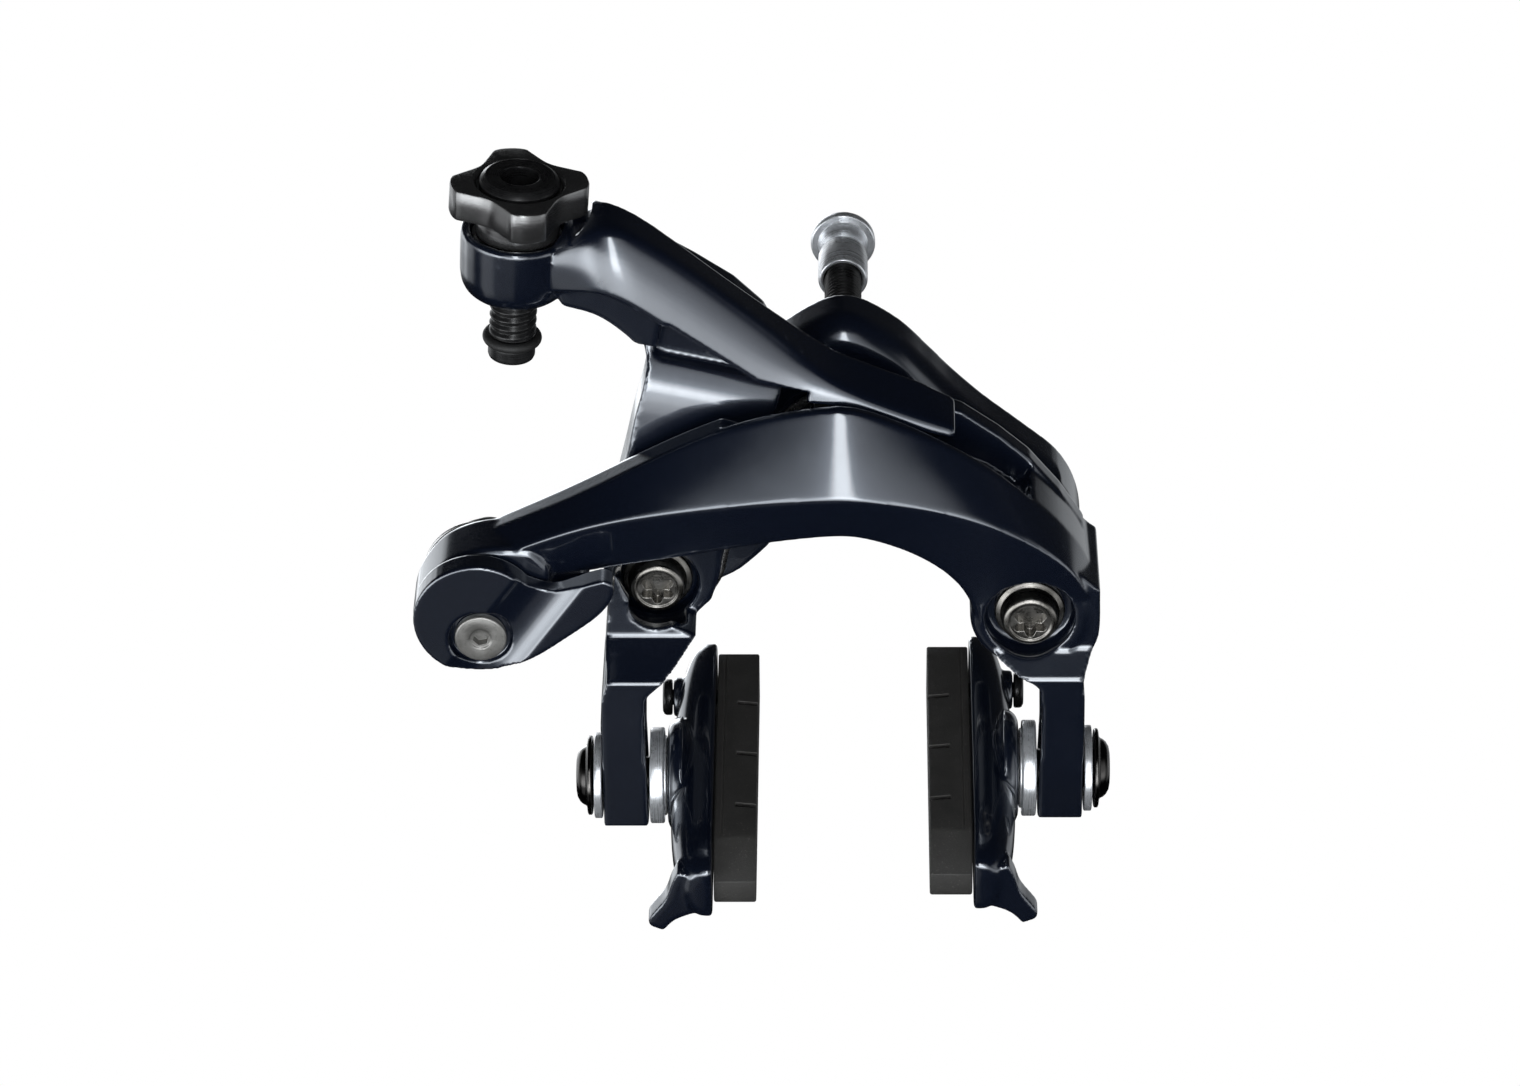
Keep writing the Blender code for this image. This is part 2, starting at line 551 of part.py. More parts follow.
adjuster_arm = loft("adjuster_arm", [bar_section(*row) for row in BAR], "arm",
                    creases={0: 0.8, 2: 0.8, 4: 0.5, 6: 0.8})
add(adjuster_arm,
    on_barrel("cup_solid", CUP),
    plate("web_solid", WEB, "XZ", -23.0, ARM_REAR_Y, bevel=0.8),
    leg(-1, "left", LEFT_LEG, LEFT_LEG_SIDE))
cut(adjuster_arm,
    plate("web_pocket", WEB_POCKET, "XZ", -40, -17.2),
    on_barrel("cup_bore", CUP_BORE),
    on_barrel("knob_clearance", rod(10.95, 42.6, 60)),
    plate("cam_pocket", CAM_ROOM, "XZ", -27.4, -18.0),
    plate("left_recess", LEFT_RECESS, "XZ", -50, -23.0),
    turned_y("left_bolt_recess", rod(6.3, -27.4, PIVOT_SEAT_Y[-1] + 0.1), centre=PIVOTS[-1]),
    turned_y("left_bolt_access", rod(3.3, -50, PIVOT_SEAT_Y[-1] + 0.1), centre=PIVOTS[-1]),
    bush_bore(-1, "left"),
    reach_slot(-1, "left"))


# ---------------------------------------------------------------- cam pad
def cam_outline(count=16):
    """An arched lower face just clear of the roller, under a faceted top."""
    start, end = CAM_X
    crown = ROLLER[1] + ROLLER_R + CAM_GAP
    face = []
    for i in range(count + 1):
        x = start + (end - start) * i / count
        face.append((x, crown + math.sqrt(CAM_R ** 2 - x ** 2) - CAM_R))
    return face + [(end, 11.7), (6.0, 13.3), (start, 13.9)]


plate("cam_pad", cam_outline(), "XZ", -27.1, -20.9, "steel")

# ---------------------------------------------------------------- barrel adjuster
BARREL_BOLT = [
    (2.9, 48.9), (5.7, 48.9), (6.1, 48.5), (6.1, 47.2), (ROD_R, 47.2), (ROD_R, 22.0),
    (2.9, 22.0), (2.9, 20.2), (ROD_R, 20.2), (ROD_R, 18.2), (3.2, 17.8), (1.0, 17.8),
    (1.0, 41.0), (2.9, 41.0)]
BARREL_O_RING = [(3.0, 21.6), (3.75, 21.9), (4.5, 21.1), (3.75, 20.3), (3.0, 20.6)]
KNOB_BORE = [(0, 60), (6.5, 60), (6.5, 47.0), (ROD_BORE_R, 47.0), (ROD_BORE_R, 30), (0, 30)]


def knob_outline():
    """Lobes with nearly flat ends, joined by hollow flanks."""
    outline = []
    pitch = 360 / KNOB_LOBES
    hollow_angle = pitch - 2 * KNOB_HALF_LOBE
    for k in range(KNOB_LOBES):
        middle = pitch * k + KNOB_TURN
        for i in (-1, 0, 1):
            radius = KNOB_LOBE_R if i else KNOB_CREST_R
            outline.append(polar((0, 0), radius, math.radians(middle + KNOB_HALF_LOBE * i)))
        for i in range(1, 6):
            t = i / 6
            angle = math.radians(middle + KNOB_HALF_LOBE + hollow_angle * t)
            radius = KNOB_LOBE_R - KNOB_HOLLOW * math.sin(math.pi * t) ** 0.8
            outline.append(polar((0, 0), radius, angle))
    return outline


on_barrel("detent_washer", ring(ROD_R + 0.3, 6.8, 38.6, 39.2), "steel", loop=True)
on_barrel("barrel_bolt", BARREL_BOLT, "black", loop=True, steps=20)
on_barrel("barrel_o_ring", BARREL_O_RING, "rubber", loop=True, steps=20)

barrel_knob = plate("barrel_knob", knob_outline(), "XY", *map(along_barrel, KNOB_Z), "knob",
                    bevel=0.45)
barrel_knob.matrix_basis = Matrix.Translation(Vector(BARREL_END) * MM) @ LEAN
add(barrel_knob, on_barrel("knob_skirt", rod(6.4, 39.4, 43.5)))
cut(barrel_knob, on_barrel("knob_bore", KNOB_BORE))

# ---------------------------------------------------------------- quick-release lever
# (x, z): round the hub, then out along the lower edge to the tip and back along the upper
LEVER = arc(HUB, 9.75, 38, 286, 18) + [
    (-50.6, -23.9), (-46.6, -21.9), (-41.8, -18.4), (-37.6, -15.0), (-35.6, -12.6),
    (-34.7, -10.3), (-34.9, -8.8), (-36.2, -8.3), (-38.4, -8.8), (-41.0, -9.8), (-43.4, -10.6),
    (-45.6, -10.4)]
CAP_SCREW = [(0, -34.6), (1.45, -34.6), (1.45, -38.75), (3.95, -38.75), (3.95, -39.8),
             (3.75, -40.0), (0, -40.0)]

qr_lever = plate("qr_lever", LEVER, "XZ", -40.3, -36.4, "arm", bevel=0.6)
add(qr_lever, turned_y("lever_hub_solid", rod(HUB_R, -37.0, -26.6, chamfer=0.2), centre=HUB))
cut(qr_lever,
    turned_y("lever_anchor_bore", rod(ANCHOR_R + 0.08, -38.4, -20), centre=ANCHOR),
    turned_y("lever_cap_recess", rod(4.8, -50, -38.6), centre=ANCHOR),
    turned_y("lever_cap_bore", rod(1.6, -42, -30), centre=ANCHOR, steps=16))
qr_cap_screw = turned_y("qr_cap_screw", CAP_SCREW, "nickel", ANCHOR, steps=20)
cut(qr_cap_screw, plate("cap_screw_socket", hexagon(ANCHOR, 2.2, turn=15), "XZ", -42, -39.0))
turned_y("qr_wave_washer", ring(HUB_R - 0.1, 8.8, -26.05, -25.5), "steel", HUB, loop=True)

# ---------------------------------------------------------------- cable anchor
ANCHOR_SHAFT = [
    (0, -19.45), (5.2, -19.45), (5.5, -19.75), (5.5, -22.4), (ANCHOR_R, -22.4),
    (ANCHOR_R, -38.2), (1.55, -38.2), (1.55, -33.6), (0, -33.6)]
CLAMP_BOLT = [(0, -11.4), (3.9, -11.4), (4.3, -11.8), (4.3, -15.05), (2.4, -15.05),
              (2.4, -27.0), (0, -27.0)]

cable_anchor_shaft = turned_y("cable_anchor_shaft", ANCHOR_SHAFT, "steel", ANCHOR, steps=20)
cut(cable_anchor_shaft,
    turned_y("anchor_thread_bore", rod(2.5, -28, -10), centre=ANCHOR, steps=20))
turned_y("cable_clamp_washer", ring(2.6, 6.4, -17.3, -15.2), "black", ANCHOR, loop=True)
cable_clamp_bolt = turned_y("cable_clamp_bolt", CLAMP_BOLT, "steel", ANCHOR)
cut(cable_clamp_bolt, plate("clamp_bolt_socket", hexagon(ANCHOR, 4.0), "XZ", -13.4, -9))

# ---------------------------------------------------------------- return spring
# (x, z) of the right half of the wire, from its foot to the crown
SPRING_HALF = [
    (23.4, -29.6), (21.4, -27.6), (19.6, -24.6), (18.6, -20.5), (17.8, -15.0), (15.0, -7.0),
    (11.4, 0.6), (8.0, 5.4), (4.2, 8.0), (0.0, 8.8)]
SPRING_PATH = [(-x, z) for x, z in SPRING_HALF] + list(reversed(SPRING_HALF[:-1]))

wire = bpy.data.curves.new("return_spring", "CURVE")
wire.dimensions = "3D"
wire.bevel_depth = SPRING_WIRE_R * MM
wire.bevel_resolution = 2
wire.use_fill_caps = True
add_polyline(wire, [(x, SPRING_Y, z) for x, z in SPRING_PATH], closed=False)
curve_to_piece("return_spring", wire, "steel")

for side, tag in SIDES:
    low_x, high_x = span(side, 25.2, 28.2)
    block(f"{tag}_spring_holder", (low_x, -13.9, -30.4), (high_x, -12.2, -27.3), "plastic",
          bevel=0.2)

# ---------------------------------------------------------------- brake shoes
# Distances x are from the middle of the caliper; heights are from the shoe bolt axis.
# Holder stations from front to rear: y, x of the outer face, top, bottom
HOLDER = [
    (-58.6, 23.8, 3.4, -5.6), (-56.0, 26.1, 4.8, -6.0), (-44.0, 27.0, 5.6, -5.8),
    (-31.0, 27.0, 5.8, -5.8), (-16.0, 26.7, 6.0, -5.6), (-6.0, 25.2, 5.7, -4.9),
    (-3.4, 23.8, 4.6, -4.0)]
# Tab at the front end of the holder, (x, height)
TAB = [(22.0, 2.0), (25.2, 3.0), (26.2, 0.8), (27.2, -2.4), (29.9, -6.8), (29.6, -7.9),
       (27.6, -8.8), (25.6, -6.6), (22.0, -5.0)]
# Pad seen from the side, (y, height)
PAD = [(-57.0, 2.4), (-53.2, 4.5), (-8.5, 4.7), (-6.0, 4.4), (-6.0, -4.4), (-9, -4.7),
       (-57.4, -4.7)]
# Turned profiles, (radius, x)
NUB = [(0, 27.3), (7.1, 27.2), (8.3, 26.7), (9.1, 25.4), (0, 22.0)]
PAD_SCREW = [(0, 28.6), (2.3, 28.6), (2.85, 28.1), (2.85, 27.1), (1.25, 27.1), (1.25, 17.2),
             (0, 17.2)]
SHOE_BOLT = [(0, 41.6), (2.8, 41.6), (4.5, 40.9), (4.8, 40.0), (6.2, 39.8), (6.2, 39.1),
             (3.0, 38.95), (3.0, 21.2), (0, 21.2)]
CONCAVE_WASHER = [(3.7, 30.05), (7.5, 30.05), (7.5, 27.85), (6.85, 27.85), (6.7, 28.5),
                  (5.4, 29.25), (3.7, 29.55)]
CONVEX_WASHER = [(3.1, 29.35), (3.7, 29.3), (5.0, 28.95), (5.95, 28.5), (6.3, 27.45),
                 (3.1, 27.45)]


def holder_section(side, y, outer, top, bottom):
    """A section of the holder: outer face convex, inner face flat against the rubber."""
    inner = HOLDER_INNER_X
    width = outer - inner
    shoulder = inner + width * 0.55
    cheek = inner + width * 0.9
    points = [(inner, top), (shoulder, top), (cheek, top * 0.62), (outer, 0.0),
              (cheek, bottom * 0.62), (shoulder, bottom), (inner, bottom), (inner, 0.0)]
    return [(side * x, y, SHOE_Z[side] + z) for x, z in points]


def pitched(ob, side):
    """Turns a shoe piece about the shoe bolt so that its front end drops."""
    at = Vector((0, SHOE_Y, SHOE_Z[side])) * MM
    pitch = Matrix.Rotation(math.radians(SHOE_PITCH), 4, "X")
    ob.matrix_basis = Matrix.Translation(at) @ pitch @ Matrix.Translation(-at) @ ob.matrix_basis
    return ob


def turned_out(side, name, profile, material=None, y=SHOE_Y, **options):
    """A piece turned about an axis along X, with its profile running outwards."""
    flip = Matrix.Identity(4) if side > 0 else Matrix.Rotation(math.pi, 4, "Z")
    return turned(name, profile, material, "X", at=(0, y, SHOE_Z[side]), turn=flip, **options)


def at_pad_screw(side, name, profile, material=None, **options):
    return pitched(turned_out(side, name, profile, material, y=PAD_SCREW_Y, **options), side)


def shoe_holder(side, tag):
    z = SHOE_Z[side]
    holder = loft(f"{tag}_shoe_holder", [holder_section(side, *row) for row in HOLDER], "arm",
                  creases={0: 0.9, 6: 0.9}, cap_crease=0.4)
    pitched(holder, side)
    tab = plate(f"{tag}_tab_solid", [(side * x, z + height) for x, height in TAB], "XZ",
                -58.0, -54.6, bevel=0.5, segments=2)
    add(holder,
        turned_out(side, f"{tag}_nub_solid", NUB, steps=20),
        pitched(tab, side),
        at_pad_screw(side, f"{tag}_screw_boss", rod(3.1, 21.5, 26.9), steps=16))
    cut(holder,
        turned_out(side, f"{tag}_nub_bore", rod(3.1, 20.6, 40), steps=20),
        at_pad_screw(side, f"{tag}_pad_screw_bore", rod(PAD_SCREW_BORE_R, 16, 40), steps=12))


def brake_pad(side, tag):
    z = SHOE_Z[side]
    pad = plate(f"{tag}_brake_pad", [(y, z + height) for y, height in PAD], "YZ",
                *span(side, PAD_FACE, PAD_BACK), "rubber", bevel=0.3)
    pitched(pad, side)
    low_x, high_x = span(side, 10, PAD_FACE + GROOVE_DEPTH)
    for k, y in enumerate(GROOVES_Y):
        groove = block(f"{tag}_pad_groove_{k}", (low_x, y - GROOVE_HALF_WIDTH, z - 9),
                       (high_x, y + GROOVE_HALF_WIDTH, z + 9))
        cut(pad, pitched(groove, side))
    cut(pad, at_pad_screw(side, f"{tag}_pad_screw_room", rod(PAD_SCREW_BORE_R, 16.8, 30),
                          steps=12))


def shoe_hardware(side, tag):
    """Pad screw, shoe bolt and the washers on the shoe bolt."""
    screw = at_pad_screw(side, f"{tag}_pad_screw", PAD_SCREW, "black", steps=20)
    cut(screw, at_pad_screw(side, f"{tag}_pad_screw_socket", rod(1.0, 27.7, 30), steps=6))
    bolt = turned_out(side, f"{tag}_shoe_bolt", SHOE_BOLT, "black", steps=20)
    cut(bolt, turned_out(side, f"{tag}_shoe_bolt_socket", rod(2.3, 39.4, 45), steps=6))
    for kind, profile in (("outer", ring(3.7, 6.7, 37.55, 38.75)),
                          ("concave", CONCAVE_WASHER), ("convex", CONVEX_WASHER)):
        turned_out(side, f"{tag}_{kind}_washer", profile, "silver", loop=True, steps=20)


for side, tag in SIDES:
    shoe_holder(side, tag)
    brake_pad(side, tag)
    shoe_hardware(side, tag)

# ---------------------------------------------------------------- bodies
# One empty on each joint's axis: name: (place, pieces that move with it)
BODIES = {
    "front_arm_axis": (y_axis_at(PIVOTS[1]), [
        "front_arm", "right_pivot_bush", "roller_axle", "right_spring_holder",
        "qr_wave_washer"]),
    "link_roller_axis": (y_axis_at(ROLLER), ["link_roller"]),
    "adjuster_arm_axis": (y_axis_at(PIVOTS[-1]), [
        "adjuster_arm", "left_pivot_bush", "cam_pad", "left_spring_holder", "detent_washer"]),
    "barrel_axis": (BARREL_END, ["barrel_bolt", "barrel_o_ring"]),
    "knob_axis": (BARREL_END, ["barrel_knob"]),
    "lever_axis": (y_axis_at(HUB), ["qr_lever", "qr_cap_screw", "cable_anchor_shaft"]),
    "clamp_axis": (y_axis_at(ANCHOR), ["cable_clamp_washer", "cable_clamp_bolt"]),
}
# joint: (distance of the empty from the middle, pieces), the same on both sides
SHOE_BODIES = {
    "reach": (31.0, ["outer_washer", "concave_washer"]),
    "toe": (29.0, ["convex_washer", "shoe_bolt"]),
    "shoe": (24.0, ["shoe_holder", "brake_pad", "pad_screw"]),
}
for side, tag in SIDES:
    for joint, (x, pieces) in SHOE_BODIES.items():
        BODIES[f"{tag}_{joint}_axis"] = ((side * x, SHOE_Y, SHOE_Z[side]),
                                         [f"{tag}_{piece}" for piece in pieces])

for name, (at, pieces) in BODIES.items():
    empty = bpy.data.objects.new(name, None)
    empty.location = Vector(at) * MM
    empty.parent = FRAME
    empty.empty_display_size = 0.005
    PARTS.objects.link(empty)
    for piece in pieces:
        ob = bpy.data.objects[piece]
        ob.parent = empty
        ob.matrix_parent_inverse = Matrix.Translation(-empty.location)

# turned pieces have no faces before their modifiers, and stay flat shaded
for ob in PARTS.objects:
    if ob.type == "MESH" and len(ob.data.polygons):
        ob.data.shade_smooth()
        ob.data.set_sharp_from_angle(angle=math.radians(32))
bpy.context.view_layer.update()
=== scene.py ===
"""Dual-pivot rim brake caliper: fine meshes, procedural materials, studio light and camera.

Shapes are drawn in millimetres about the axis of the mounting bolt: x to the right as seen from
the front, y to the rear along the bolt, z up. MM turns them into metres, and finished pieces are
lowered into the frame's own coordinates, where they ride on the frame's bodies.
"""
import json
import math
import bmesh
import bpy
from mathutils import Matrix, Vector

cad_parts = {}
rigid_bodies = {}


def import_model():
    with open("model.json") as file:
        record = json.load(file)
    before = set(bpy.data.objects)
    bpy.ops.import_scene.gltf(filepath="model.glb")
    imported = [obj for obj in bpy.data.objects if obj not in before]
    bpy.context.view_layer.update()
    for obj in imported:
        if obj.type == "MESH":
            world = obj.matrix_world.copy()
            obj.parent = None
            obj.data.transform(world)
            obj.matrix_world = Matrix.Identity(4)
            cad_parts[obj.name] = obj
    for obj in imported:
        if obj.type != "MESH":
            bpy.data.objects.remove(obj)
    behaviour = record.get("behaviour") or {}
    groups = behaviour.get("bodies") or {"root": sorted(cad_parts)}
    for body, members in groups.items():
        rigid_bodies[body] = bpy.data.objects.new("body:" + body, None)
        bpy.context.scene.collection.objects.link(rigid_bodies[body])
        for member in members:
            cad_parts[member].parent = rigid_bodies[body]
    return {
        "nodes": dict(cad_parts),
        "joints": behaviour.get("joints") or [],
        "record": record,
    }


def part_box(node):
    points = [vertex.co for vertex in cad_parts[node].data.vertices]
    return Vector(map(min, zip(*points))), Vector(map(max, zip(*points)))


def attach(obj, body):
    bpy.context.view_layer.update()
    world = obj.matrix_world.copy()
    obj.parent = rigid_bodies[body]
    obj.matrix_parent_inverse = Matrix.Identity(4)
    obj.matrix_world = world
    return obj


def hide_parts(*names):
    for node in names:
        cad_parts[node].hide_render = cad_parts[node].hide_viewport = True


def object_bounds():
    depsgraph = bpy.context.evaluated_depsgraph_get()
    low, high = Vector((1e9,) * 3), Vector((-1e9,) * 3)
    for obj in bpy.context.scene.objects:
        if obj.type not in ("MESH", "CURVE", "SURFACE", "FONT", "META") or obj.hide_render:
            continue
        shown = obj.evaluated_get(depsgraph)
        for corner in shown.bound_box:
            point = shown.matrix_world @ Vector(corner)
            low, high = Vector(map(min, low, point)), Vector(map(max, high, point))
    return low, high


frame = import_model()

CAD_BOX = [list(map(float, v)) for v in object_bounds()]
RECORD = frame["record"]
JOINT = {j["name"]: j for j in frame["joints"]}
BODY_OF = {n: b for b, ns in RECORD["behaviour"]["bodies"].items() for n in ns}
SLOT_OF = {s["node"]: s["material_slot"] for s in RECORD["subparts"]}

# ---------------------------------------------------------------- driving dimensions
MM = 0.001
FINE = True
VOXEL = 0.30 if FINE else 0.5
STEPS = 96 if FINE else 40           # facets round a turned piece
SUBDIVISIONS = 3 if FINE else 2
SIDES = ((-1, "left"), (1, "right"))

bolt_low, bolt_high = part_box("mounting_bolt")
BOLT_DROP = -(bolt_low.z + bolt_high.z) / 2 / MM     # bolt axis below the frame's origin


def joint_at(name):
    x, y, z = JOINT[name]["pos_m"]
    return (x / MM, y / MM, z / MM + BOLT_DROP)


def joint_xz(name):
    x, _, z = joint_at(name)
    return (x, z)


PIVOT_X, PIVOT_Z = joint_xz("front_arm_pivot")
PIVOT = {side: (side * PIVOT_X, PIVOT_Z) for side, _ in SIDES}
PIVOT_R = 3.0
PIVOT_FACE_Y = {-1: -24.8, 1: -34.2}     # front of each pivot bolt's head
PIVOT_HEAD = 4.6                         # from that face back to the bolt's seat
BUSH_R = 4.2
BUSH_BORE_R = BUSH_R + 0.1
BRIDGE_Y = tuple(corner.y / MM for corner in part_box("rear_bridge"))
BRIDGE_ROLL_R = 4.6
ARM_REAR_Y = -14.0
CENTRING_Y, CENTRING_Z = -7.2, -22.0
HUB = joint_xz("qr_lever_turn")
HUB_R = 6.9
ANCHOR = joint_xz("cable_clamp_swivel")
ANCHOR_R = 3.0
ROLLER = joint_xz("link_roller_spin")
ROLLER_R = 4.0
AXLE_R = 1.5
CAM_R = 32.6
CAM_GAP = 0.06
BARREL_TOP = (-48.3, -17.0, 48.5)
BARREL_END = (-50.5, -17.0, 17.8)
ROD_R = 3.6
ROD_BORE_R = ROD_R + 0.15
WIRE_R = 0.75
SPRING_Y = -13.0
SHOE_Y = joint_at("left_shoe_pitch")[1]
SHOE_Z = {side: joint_at(f"{tag}_shoe_pitch")[2] for side, tag in SIDES}
SHOE_PITCH = math.radians(5.0)
SLOT_R = 3.5
REACH_TRAVEL = JOINT["left_shoe_reach"]["range_m"][1] / MM
PAD_FACE = -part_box("left_brake_pad")[1].x / MM
PAD_SCREW_Y = -11.6
PAD_SCREW_BORE_R = 1.35

# ---------------------------------------------------------------- construction helpers
# A shape named after a part of the record is a finished piece; all others are cutters or solids.
WORK = bpy.data.collections.new("construction")
bpy.context.scene.collection.children.link(WORK)
MADE = {}


def link(name, mesh):
    ob = bpy.data.objects.new(name, mesh)
    WORK.objects.link(ob)
    if name in SLOT_OF:
        MADE[name] = ob
    return ob


def from_bmesh(name, bm):
    bmesh.ops.recalc_face_normals(bm, faces=bm.faces)
    mesh = bpy.data.meshes.new(name)
    bm.to_mesh(mesh)
    bm.free()
    return link(name, mesh)


def shift(at):
    return Matrix.Translation(Vector(at) * MM)


def turn(degrees, axis):
    return Matrix.Rotation(math.radians(degrees), 4, axis)


def about(point, rotation):
    """The rotation, taken about a point."""
    at = Vector(point) * MM
    return Matrix.Translation(at) @ rotation @ Matrix.Translation(-at)


def span(side, a, b):
    return sorted((side * a, side * b))


IDENTITY = Matrix.Identity(4)
ALONG_Y = turn(-90, "X")
ALONG_X = turn(90, "Y")


def bevelled(ob, width, segs=3, angle=35):
    bevel = ob.modifiers.new("Bevel", "BEVEL")
    bevel.width = width * MM
    bevel.segments = segs
    bevel.limit_method = "ANGLE"
    bevel.angle_limit = math.radians(angle)


def turned(name, profile, place=IDENTITY, loop=False, soft=0.0, hexagonal=False):
    """A turned piece: profile of (radius, height) running down its outer side."""
    mesh = bpy.data.meshes.new(name)
    count = len(profile)
    edges = [(i, i + 1) for i in range(count - 1)] + ([(count - 1, 0)] if loop else [])
    mesh.from_pydata([(r * MM, 0, h * MM) for r, h in profile], edges, [])
    ob = link(name, mesh)
    steps = 6 if hexagonal else STEPS
    # cutters are spun a little so that their facets never line up with those they cut
    solid = name in SLOT_OF or name.endswith("_solid")
    spin = 0.0 if solid else math.pi / steps * 0.77
    ob.matrix_basis = place @ Matrix.Rotation(spin, 4, "Z")
    screw = ob.modifiers.new("Screw", "SCREW")
    screw.axis = "Z"
    screw.angle = math.tau
    screw.steps = screw.render_steps = steps
    screw.use_merge_vertices = True
    screw.merge_threshold = 1e-6
    screw.use_smooth_shade = False
    if soft:
        bevelled(ob, soft, 2, 30)
    return ob


def along_y(name, profile, centre=(0, 0), **options):
    """Turned about a fore-aft axis through (x, z); heights are y."""
    return turned(name, profile, shift((centre[0], 0, centre[1])) @ ALONG_Y, **options)


def along_x(name, profile, y, z, side=1, **options):
    """Turned about a sideways axis through (y, z); heights run outward on the given side."""
    flip = IDENTITY if side > 0 else Matrix.Rotation(math.pi, 4, "Z")
    return turned(name, profile, shift((0, y, z)) @ flip @ ALONG_X, **options)


def threaded(name, profile, place, sides, start, end, pitch, depth, least_radius):
    """A closed ring of revolution whose long outer sides carry a helical thread."""
    runout = 0.8
    per_pitch = 10 if FINE else 6
    points = []
    for i, (r, h) in enumerate(profile):
        r2, h2 = profile[(i + 1) % len(profile)]
        points.append((r, h, False))
        if min(r, r2) >= least_radius and abs(r - r2) < 0.01 and abs(h - h2) > pitch:
            k = max(2, int(abs(h2 - h) / pitch * per_pitch))
            points += [(r + (r2 - r) * j / k, h + (h2 - h) * j / k, True) for j in range(1, k)]
    bm = bmesh.new()
    rows = []
    for r, h, cuts in points:
        row = []
        for j in range(sides):
            a = math.tau * j / sides
            radius = r
            if cuts:
                fade = max(0.0, min(1.0, (h - start) / runout, (end - h) / runout))
                phase = (h / pitch - a / math.tau) % 1.0
                crest = max(0.0, min(1.0, 1.25 * (1 - abs(2 * phase - 1)) - 0.08))
                radius = r - depth * fade * (1 - crest)
            row.append(bm.verts.new((radius * math.cos(a) * MM, radius * math.sin(a) * MM, h * MM)))
        rows.append(row)
    for a, b in zip(rows, rows[1:] + rows[:1]):
        for j in range(sides):
            k = (j + 1) % sides
            bm.faces.new((a[j], a[k], b[k], b[j]))
    ob = from_bmesh(name, bm)
    ob.matrix_basis = place
    return ob


def ring(r0, r1, h0, h1, chamfer=0.0):
    if chamfer:
        return [(r0, h1), (r1 - chamfer, h1), (r1, h1 - chamfer),
                (r1, h0 + chamfer), (r1 - chamfer, h0), (r0, h0)]
    return [(r0, h1), (r1, h1), (r1, h0), (r0, h0)]


def rod(r, h0, h1, chamfer=0.0):
    return ring(0, r, h0, h1, chamfer)


def fair(points, steps=5, corner=50):
    """Rounds an outline with a Catmull-Rom curve, keeping corners sharper than the given angle."""
    points = [Vector(p) for p in points]
    count = len(points)

    def is_corner(i):
        arrive = points[i] - points[i - 1]
        leave = points[(i + 1) % count] - points[i]
        return arrive.length and leave.length and math.degrees(arrive.angle(leave)) > corner

    def blend(p, q, from_t, to_t, t):
        return p * ((to_t - t) / (to_t - from_t)) + q * ((t - from_t) / (to_t - from_t))

    sharp = [is_corner(i) for i in range(count)]
    out = []
    for i in range(count):
        j = (i + 1) % count
        p1, p2 = points[i], points[j]
        p0 = p1 + (p1 - p2) if sharp[i] else points[i - 1]
        p3 = p2 + (p2 - p1) if sharp[j] else points[(i + 2) % count]
        # centripetal weights keep the curve from looping between points at unlike distances
        t1 = max(1e-6, (p1 - p0).length ** 0.5)
        t2 = t1 + max(1e-6, (p2 - p1).length ** 0.5)
        t3 = t2 + max(1e-6, (p3 - p2).length ** 0.5)
        for k in range(steps):
            t = t1 + (t2 - t1) * k / steps
            middle = blend(p1, p2, t1, t2, t)
            first = blend(blend(p0, p1, 0, t1, t), middle, 0, t2, t)
            second = blend(middle, blend(p2, p3, t2, t3, t), t1, t3, t)
            point = blend(first, second, t1, t2, t)
            out.append((point.x, point.y))
    return out


def curve_body(name, curve, points, cyclic=False, place=IDENTITY, dissolve=False):
    """The mesh of a curve through 3D points, welded where its surfaces meet."""
    spline = curve.splines.new("POLY")
    spline.points.add(len(points) - 1)
    spline.use_cyclic_u = cyclic
    for p, (x, y, z) in zip(spline.points, points):
        p.co = (x * MM, y * MM, z * MM, 1)
    drawn = bpy.data.objects.new(name + "_curve", curve)
    bpy.context.scene.collection.objects.link(drawn)
    drawn.matrix_world = place
    bpy.context.view_layer.update()
    evaluated = drawn.evaluated_get(bpy.context.evaluated_depsgraph_get())
    mesh = bpy.data.meshes.new_from_object(evaluated)
    mesh.transform(drawn.matrix_world)
    bm = bmesh.new()
    bm.from_mesh(mesh)
    bmesh.ops.remove_doubles(bm, verts=bm.verts, dist=1e-6)
    if dissolve:
        bmesh.ops.dissolve_limit(bm, angle_limit=math.radians(0.05), verts=bm.verts, edges=bm.edges)
    bmesh.ops.recalc_face_normals(bm, faces=bm.faces)
    bm.to_mesh(mesh)
    bm.free()
    bpy.data.objects.remove(drawn)
    bpy.data.curves.remove(curve)
    return link(name, mesh)


# each drawing plane: its matrix and its normal
PLANES = {
    "XZ": (Matrix(((1, 0, 0, 0), (0, 0, -1, 0), (0, 1, 0, 0), (0, 0, 0, 1))), Vector((0, 1, 0))),
    "YZ": (Matrix(((0, 0, 1, 0), (1, 0, 0, 0), (0, 1, 0, 0), (0, 0, 0, 1))), Vector((1, 0, 0))),
    "XY": (IDENTITY, Vector((0, 0, 1))),
}


def plate(name, outline, plane, lo, hi, bevel=0.0, segs=3, angle=35):
    """A flat outline with thickness from lo to hi across its plane."""
    curve = bpy.data.curves.new(name, "CURVE")
    curve.dimensions = "2D"
    curve.fill_mode = "BOTH"
    curve.extrude = (hi - lo) / 2 * MM
    matrix, normal = PLANES[plane]
    ob = curve_body(name, curve, [(a, b, 0) for a, b in outline], cyclic=True, dissolve=True,
                    place=Matrix.Translation(normal * ((lo + hi) / 2 * MM)) @ matrix)
    if bevel:
        bevelled(ob, bevel, segs, angle)
    return ob


